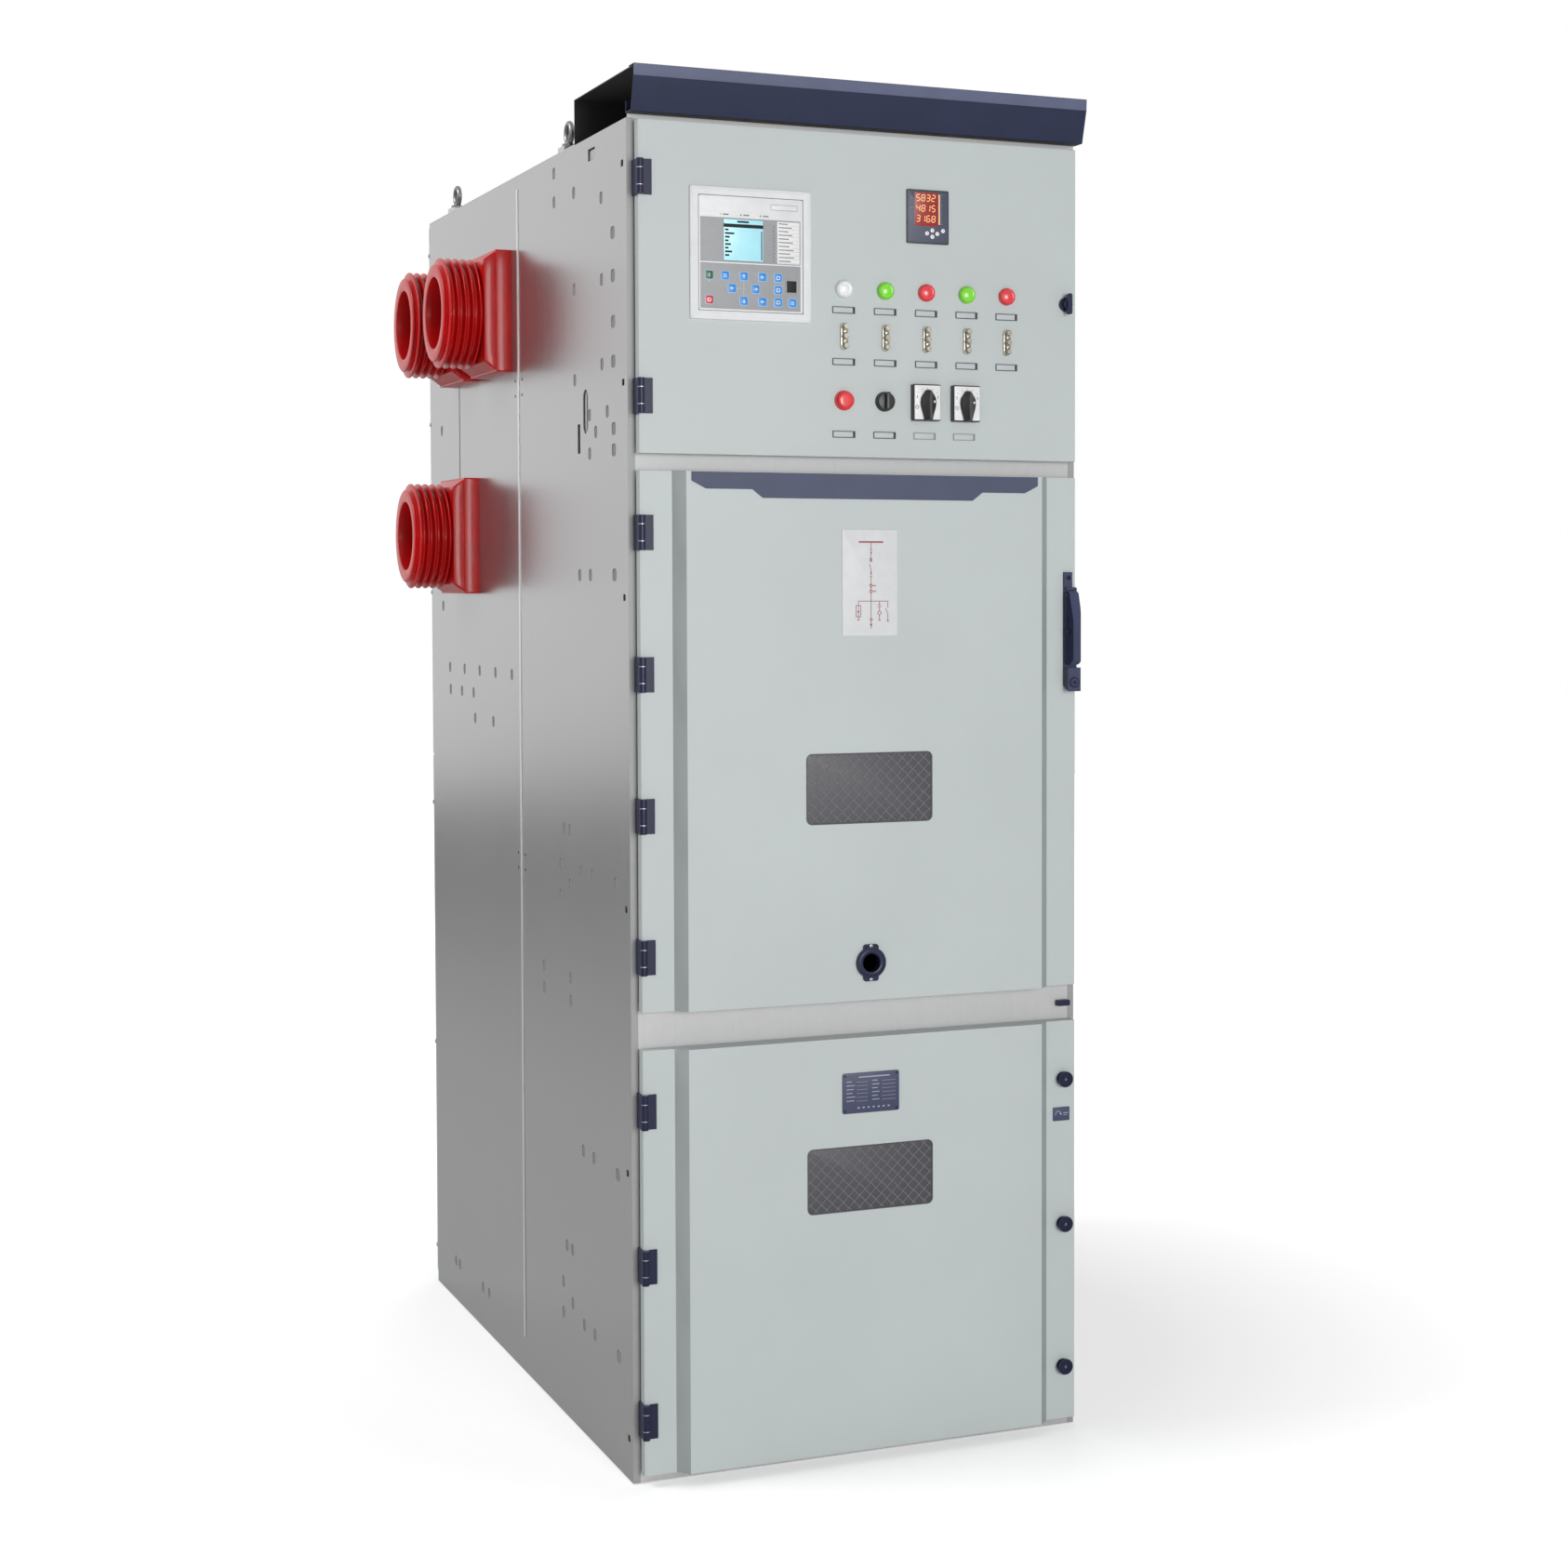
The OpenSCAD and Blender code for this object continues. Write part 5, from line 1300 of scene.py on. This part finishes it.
# %% [markdown]
# ## Meter
# The meter has a slate case, a red display window with three rows of digits, a bar scale, and five small
# white buttons. A digit is up to seven short strokes, so a table of which strokes are lit draws any
# number. The numbers stand for nothing in particular.

# %% Meter
strokes = {"a": [(0, 2), (1, 2)], "b": [(1, 2), (1, 1)], "c": [(1, 1), (1, 0)], "d": [(0, 0), (1, 0)],
           "e": [(0, 1), (0, 0)], "f": [(0, 2), (0, 1)], "g": [(0, 1), (1, 1)]}
lit = {"1": "bc", "2": "abdeg", "3": "abcdg", "4": "bcfg", "5": "acdfg", "6": "acdefg", "8": "abcdefg"}


def number(text, x, z, width=5.8, height=10.3, gap=3.4, lean=0.1, line=1.25):
    """Digits from left to right: each lit stroke is a short flat line, slanted a little."""
    size, short = np.array([width, height / 2]), 0.12
    parts = []
    for place, digit in enumerate(text):
        for stroke in lit[digit]:
            a, b = np.array(strokes[stroke], float)
            ends = np.array([a + short * (b - a), b - short * (b - a)]) * size
            ends[:, 0] += x + place * (width + gap) + lean * ends[:, 1]
            parts.append(flat_line(ends + [0, z], line, 0.25))
    return parts


box = span("meter")
meter_w, _, meter_h = extent(box)
proud, behind_door = face_y - box[0][1], box[1][1] - face_y
rim = slab(box_outline(meter_w, meter_h, 2.5, 5), proud - 0.6, 0.6)
slate = slab(box_outline(meter_w - 5, meter_h - 5, 2, 4), proud, 0.4, 2.0)
case = slab(box_outline(meter_w - 10, meter_h - 10, 1, 2), 0.0, 0.4, -behind_door)
screen = shift(slab(box_outline(42, 56, 1, 3), proud + 0.2, 0.1, proud - 0.5), -3.4, 12.5)
rows = {"5832": 26.2, "4815": 8.9, "3168": -8.4}
digits = joined(*[stroke for text, z in rows.items() for stroke in number(text, -21.4, z)])
scale_bar = shift(slab(box_outline(2.0, 50), 0.25, 0.05), 20.2, 13.0)
ticks = [flat_line([(22.6, z), (24.6 + (1.4 if k % 4 == 0 else 0), z)], 0.7, 0.2)
         for k, z in enumerate(np.linspace(-11, 37, 13))]
side_marks = [flat_line([(-31, z), (-28.4, z)], 0.8, 0.2) for z in (31, 14, -3)]
button = turned([[0, 1.2], [2.6, 1.1], [3.4, 0.7], [3.6, 0]], 24)
dot_mark = turned([[0, 1.3], [0.8, 1.25], [1.0, 1.0]], 12)
button_places = ((-1.9, -27.5), (7.6, -22.2), (16.7, -27.5), (7.6, -32.8), (27, -22.2))
buttons, button_marks = [joined(*[shift(part, x, z) for x, z in button_places])
                         for part in (button, dot_mark)]
piece("panel_meter", "lv_door", on_front(
    [at_depth(box, face_y)], (joined(rim, case), black), (slate, meter_slate), (screen, meter_red))
    + on_front([front_of(box)], (shift(digits, out=0.2), digit_light), (scale_bar, digit_light),
               (joined(*ticks, *side_marks), relay_grey), (buttons, lamp_white), (button_marks, dark_grey)),
    "meter_slate", ["meter"])
print("meter strokes:", len(digits[1]) // 6)

# %% [markdown]
# ## Pilot lamps, labels and test links
# A pilot lamp is a clear coloured cap over a small light: a round foot, and a ten-sided crown whose slopes
# lean in to a flat face with one shallow ring. Under each lamp sits a label holder, a slim frame round a
# strip of paper, with a dark wedge at its right end. The test links below are solid brass, nickel plated:
# three knurled nuts on a strap.

# %% Lamps
def lamp_cap(radius, depth=11.0):
    """A round foot under a ten-sided crown: rings of the outline's share, each at its height."""
    foot = turned([[0, 0], [radius - 0.5, 0], [radius, 0.6], [radius, 3.6], [radius - 0.5, 4.2], [0, 4.2]],
                  56)
    sides = eased(ring_outline(radius * 1.02, 10, np.pi / 10), 2.2)
    share, height = np.array([[0.97, 4], [1, 4.6], [1, depth - 4.4], [0.96, depth - 3.4], [0.79, depth - 0.5],
                              [0.75, depth - 0.1], [0.71, depth], [0.58, depth], [0.55, depth - 0.25],
                              [0.52, depth]]).T[:, :, None, None]
    rings = np.broadcast_to(height, (len(height), len(sides), 1))
    return joined(foot, grid(np.concatenate([sides * share, rings], -1), caps=True))


deep = 35                             # how far lamps, button and selector reach behind the door
barrel = turned([[0, -deep], [9.5, -deep], [10.4, 1 - deep], [10.8, -4], [10.8, 0]], 32)
for colour, finish in (("white", lamp_white), ("green", lamp_green), ("red", lamp_red)):
    node = "lamps_" + colour
    boxes = solids(node)
    radius = extent(boxes[0])[0] / 2
    collar = turned([[10.9, 0], [10.9, 0.5], [radius, 0.5], [radius, 0]], 56, hollow=True)
    piece(node + "_caps", "lv_door", on_front(
        [at_depth(b, face_y) for b in boxes], (lamp_cap(radius), finish), (joined(barrel, collar), black)),
        "lamp_" + colour, [node])
print("lamp radius:", round(radius, 1))

# %% Label holders
label_boxes = solids("label_holders")
label_w, _, label_h = extent(label_boxes[0])
holder = moulding(box_outline(label_w, label_h, 0.6, 3), [
    (0, 0), (0, 1.6), (0.3, 2.0), (1.1, 2.0), (1.4, 1.7), (1.4, 0)], hollow=True)
paper = shift(slab(box_outline(label_w - 5.5, label_h - 2.6), 0.9, 0.1), -1.4)
gap = slab(box_outline(label_w - 2, label_h - 2), 0.35, 0.1)
right, half = label_w / 2 - 1.4, label_h / 2 - 1.6
wedge = slab([[right - 3.2, -half], [right, -half], [right, half], [right - 1.6, half]], 0.9, 0.1, 0.3)
places = [back_of(b) for b in label_boxes]
lowest = min(place[2] for place in places)
pale = sorted(place for place in places if place[2] < lowest + 5)[-2:]
dark = [place for place in places if place not in pale]
piece("label_frames", "lv_door", on_front(dark, (holder, label_frame))
      + on_front(pale, (joined(holder, gap), relay_grey)) + on_front(dark, (joined(gap, wedge), black))
      + on_front(places, (paper, label_paper)), "label_white", ["label_holders"])

# %% Test links
def knurled_nut(radius=4.8, height=8.0, ribs=16):
    """r (1 - 0.06 |sin(ribs t / 2)|) up the side, with a chamfered top and a round recess in it."""
    profile = [[radius - 0.9, 0], [radius, 0.8], [radius, height - 1.1], [radius - 1.0, height],
               [2.0, height], [2.0, height - 0.9], [0, height - 0.9]]
    return rippled(turned(profile, 64),
                   lambda r, t: 1 - 0.06 * np.abs(np.sin(ribs * t / 2)) * (r > radius - 0.2))


link_boxes = solids("test_links")
base = slab(obround(12, 44, 10), 4, 0.7)
strap = moulding(obround(7, 39, 8), [(0, 7), (0.4, 6.7), (0, 7.1), (0, 9.6), (0.5, 10)])
stud = turned([[0, 3.5], [3.2, 3.5], [3.2, 7.2], [0, 7.2]], 24)
nuts = joined(*[shift(part, 0, z, out)
                for part, out in ((knurled_nut(), 7), (stud, 0)) for z in (-16, 0, 16)])
blocks = joined(*[shift(slab(box_outline(7.6, 5, 0.8, 3), 11.6, 0.8, 6.4), 0, z) for z in (-8, 8)])
piece("test_link_sets", "lv_door", on_front(
    [back_of(b) for b in link_boxes], (joined(base, strap, nuts, blocks), nickel)), "bright", ["test_links"])
print("labels:", len(label_boxes), "links:", len(link_boxes))

# %% [markdown]
# ## Push-button, selector and rotary switches
# These are the controls a hand meets. The emergency trip is a broad red button in a red ring. The
# selector is a black disc with a raised grip bar. The two rotary switches have a black case, a white
# dial plate with small marks at each position, and a spindle-shaped handle whose section is a low roof,
# so that its ridge catches the light.

# %% Push-button and selector
button_place, selector_place = [at_depth(b, face_y) for b in solids("control_bases")]
ring = turned([[10.6, 0], [10.6, 4.4], [11.4, 4.9], [14.0, 5.0], [15.6, 4.2], [16.5, 3.0], [16.5, 0.6],
               [16.0, 0]], 72, hollow=True)
rear = turned([[0, -deep], [11.8, -deep], [12.8, 1 - deep], [12.9, 0], [10.6, 0], [10.6, -3], [0, -3]], 40)
piece("button_ring", "lv_door", on_front([button_place], (ring, button_red), (rear, black)), "black_plastic")
disc = turned([[0, 6], [14.7, 6], [15.9, 5.4], [16.4, 4.4], [16.5, 0], [0, 0]], 72)
rear = turned([[0, -deep], [9.8, -deep], [10.8, 1 - deep], [10.9, 0], [0, 0]], 40)
piece("selector_ring", "lv_door",
      on_front([selector_place], (joined(disc, rear), black)), "black_plastic", ["control_bases"])

cap = turned([[0, 14.5], [6, 14.45], [10.9, 14.2], [12.8, 13.4], [14.1, 12.1], [14.5, 11.2], [14.5, 10.2],
              [13.9, 9.5], [10, 9.5], [10, -3], [0, -3]], 72)
piece("stop_button_cap", "stop_button",
      on_front([button_place], (cap, button_red)), "red_plastic", ["stop_button"])


def grip_bar(length, width, foot, top, crown=1.2):
    """A bar whose top is crowned along its length: height = top - crown (v / half length)^2."""
    points, faces = moulding(obround(width, length), [
        (0, foot), (0, top - 1.6), (0.5, top - 0.5), (1.5, top), (width / 2 - 0.4, top)])
    lift = np.clip((points[:, 2] - foot) / (top - foot), 0, 1)
    drop = crown * lift * (points[:, 1] / (length / 2)) ** 2
    return points - drop[:, None] * [0, 0, 1], faces


knob = turned([[0, 12.4], [12.6, 12.4], [14.4, 11.8], [15.3, 10.6], [15.5, 9.2], [15.5, 6.9], [15.1, 6.4],
               [0, 6.4]], 72)
pointer = shift(flat_line([(0, 2), (0, 12)], 1.1, 0.2), out=21.8)
piece("selector_grip", "selector", on_front(
    [selector_place], (joined(knob, grip_bar(31, 8, 11.9, 23.0)), black), (pointer, white)),
    "black_plastic", ["selector_knob"])
print("button and selector made")

# %% Rotary switches
switch_boxes = solids("switch_plates")
switch_w, _, switch_h = extent(switch_boxes[0])
switch_case = moulding(box_outline(switch_w, switch_h, 2.2, 5), [(0.4, 0), (0, 0.5), (0, 12.2), (0.9, 13.0)])
rear_case = slab(box_outline(44, 44, 3, 4), 0.0, 0.5, -70)
dial_top = 14.5
dial = slab(box_outline(switch_w - 2.4, switch_h - 4, 1.6, 4), dial_top, 0.35, 12.8)
dial_marks = [flat_line([(r * np.cos(a), r * np.sin(a) - 1) for r in (23.5, 26.0)], 0.8, 0.12)
              for a in np.radians([135, 112, 90, 68, 45])]
dial_marks += [shift(ring_mark, -19, -8), shift(bar_mark, -19, 9), shift(bar_mark, 19, 9)]
places = [at_depth(b, face_y) for b in switch_boxes]
piece("switch_dials", "lv_door", on_front(
    places, (joined(switch_case, rear_case), black), (dial, white),
    (shift(joined(*dial_marks), out=dial_top), mid_grey)), "white_plastic", ["switch_plates"])


def spindle_handle(foot=14.9, ridge=29.6):
    """Rings from the foot to the ridge, each a share of the outline and of a narrow blade on its axis."""
    right = np.array([[6.5, -30], [9, -20], [12.5, -8], [13.5, 0], [12.5, 8], [4, 21]])
    outline = eased(np.concatenate([right, right[::-1] * [-1, 1]]), 2.0, steps=3)
    blade = np.column_stack([outline[:, 0] * 0.18, np.clip(outline[:, 1], -27.5, 18.5)])
    share = np.array([0, 0, 0.05, 0.3, 0.62, 0.85, 1.0])[:, None, None]
    height = np.array([foot, foot + 5.5, foot + 6.6, foot + 8.2, foot + 10.4, ridge - 1.4, ridge])
    rings = outline * (1 - share) + blade * share
    heights = np.broadcast_to(height[:, None, None], rings.shape[:2] + (1,))
    return grid(np.concatenate([rings, heights], -1), caps=True)


dot = shift(turned([[0, 0.5], [1.5, 0.45], [1.9, 0.0], [1.9, -2.0]], 20), 8.4, 1.0, 24.6)
for side, place in zip(("left", "right"), places):
    node = "switch_handle_" + side
    piece(node + "_spindle", "switch_" + side,
          on_front([place], (spindle_handle(), black), (dot, white)), "black_plastic", [node])
print("rotary switches:", len(places))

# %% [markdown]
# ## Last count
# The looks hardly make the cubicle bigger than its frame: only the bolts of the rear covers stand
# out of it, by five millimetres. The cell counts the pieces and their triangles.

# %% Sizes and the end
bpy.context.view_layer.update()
triangles = {o.name: sum(len(p.vertices) - 2 for p in o.data.polygons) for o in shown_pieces()}
print("pieces:", len(triangles), "triangles before modifiers:", sum(triangles.values()))
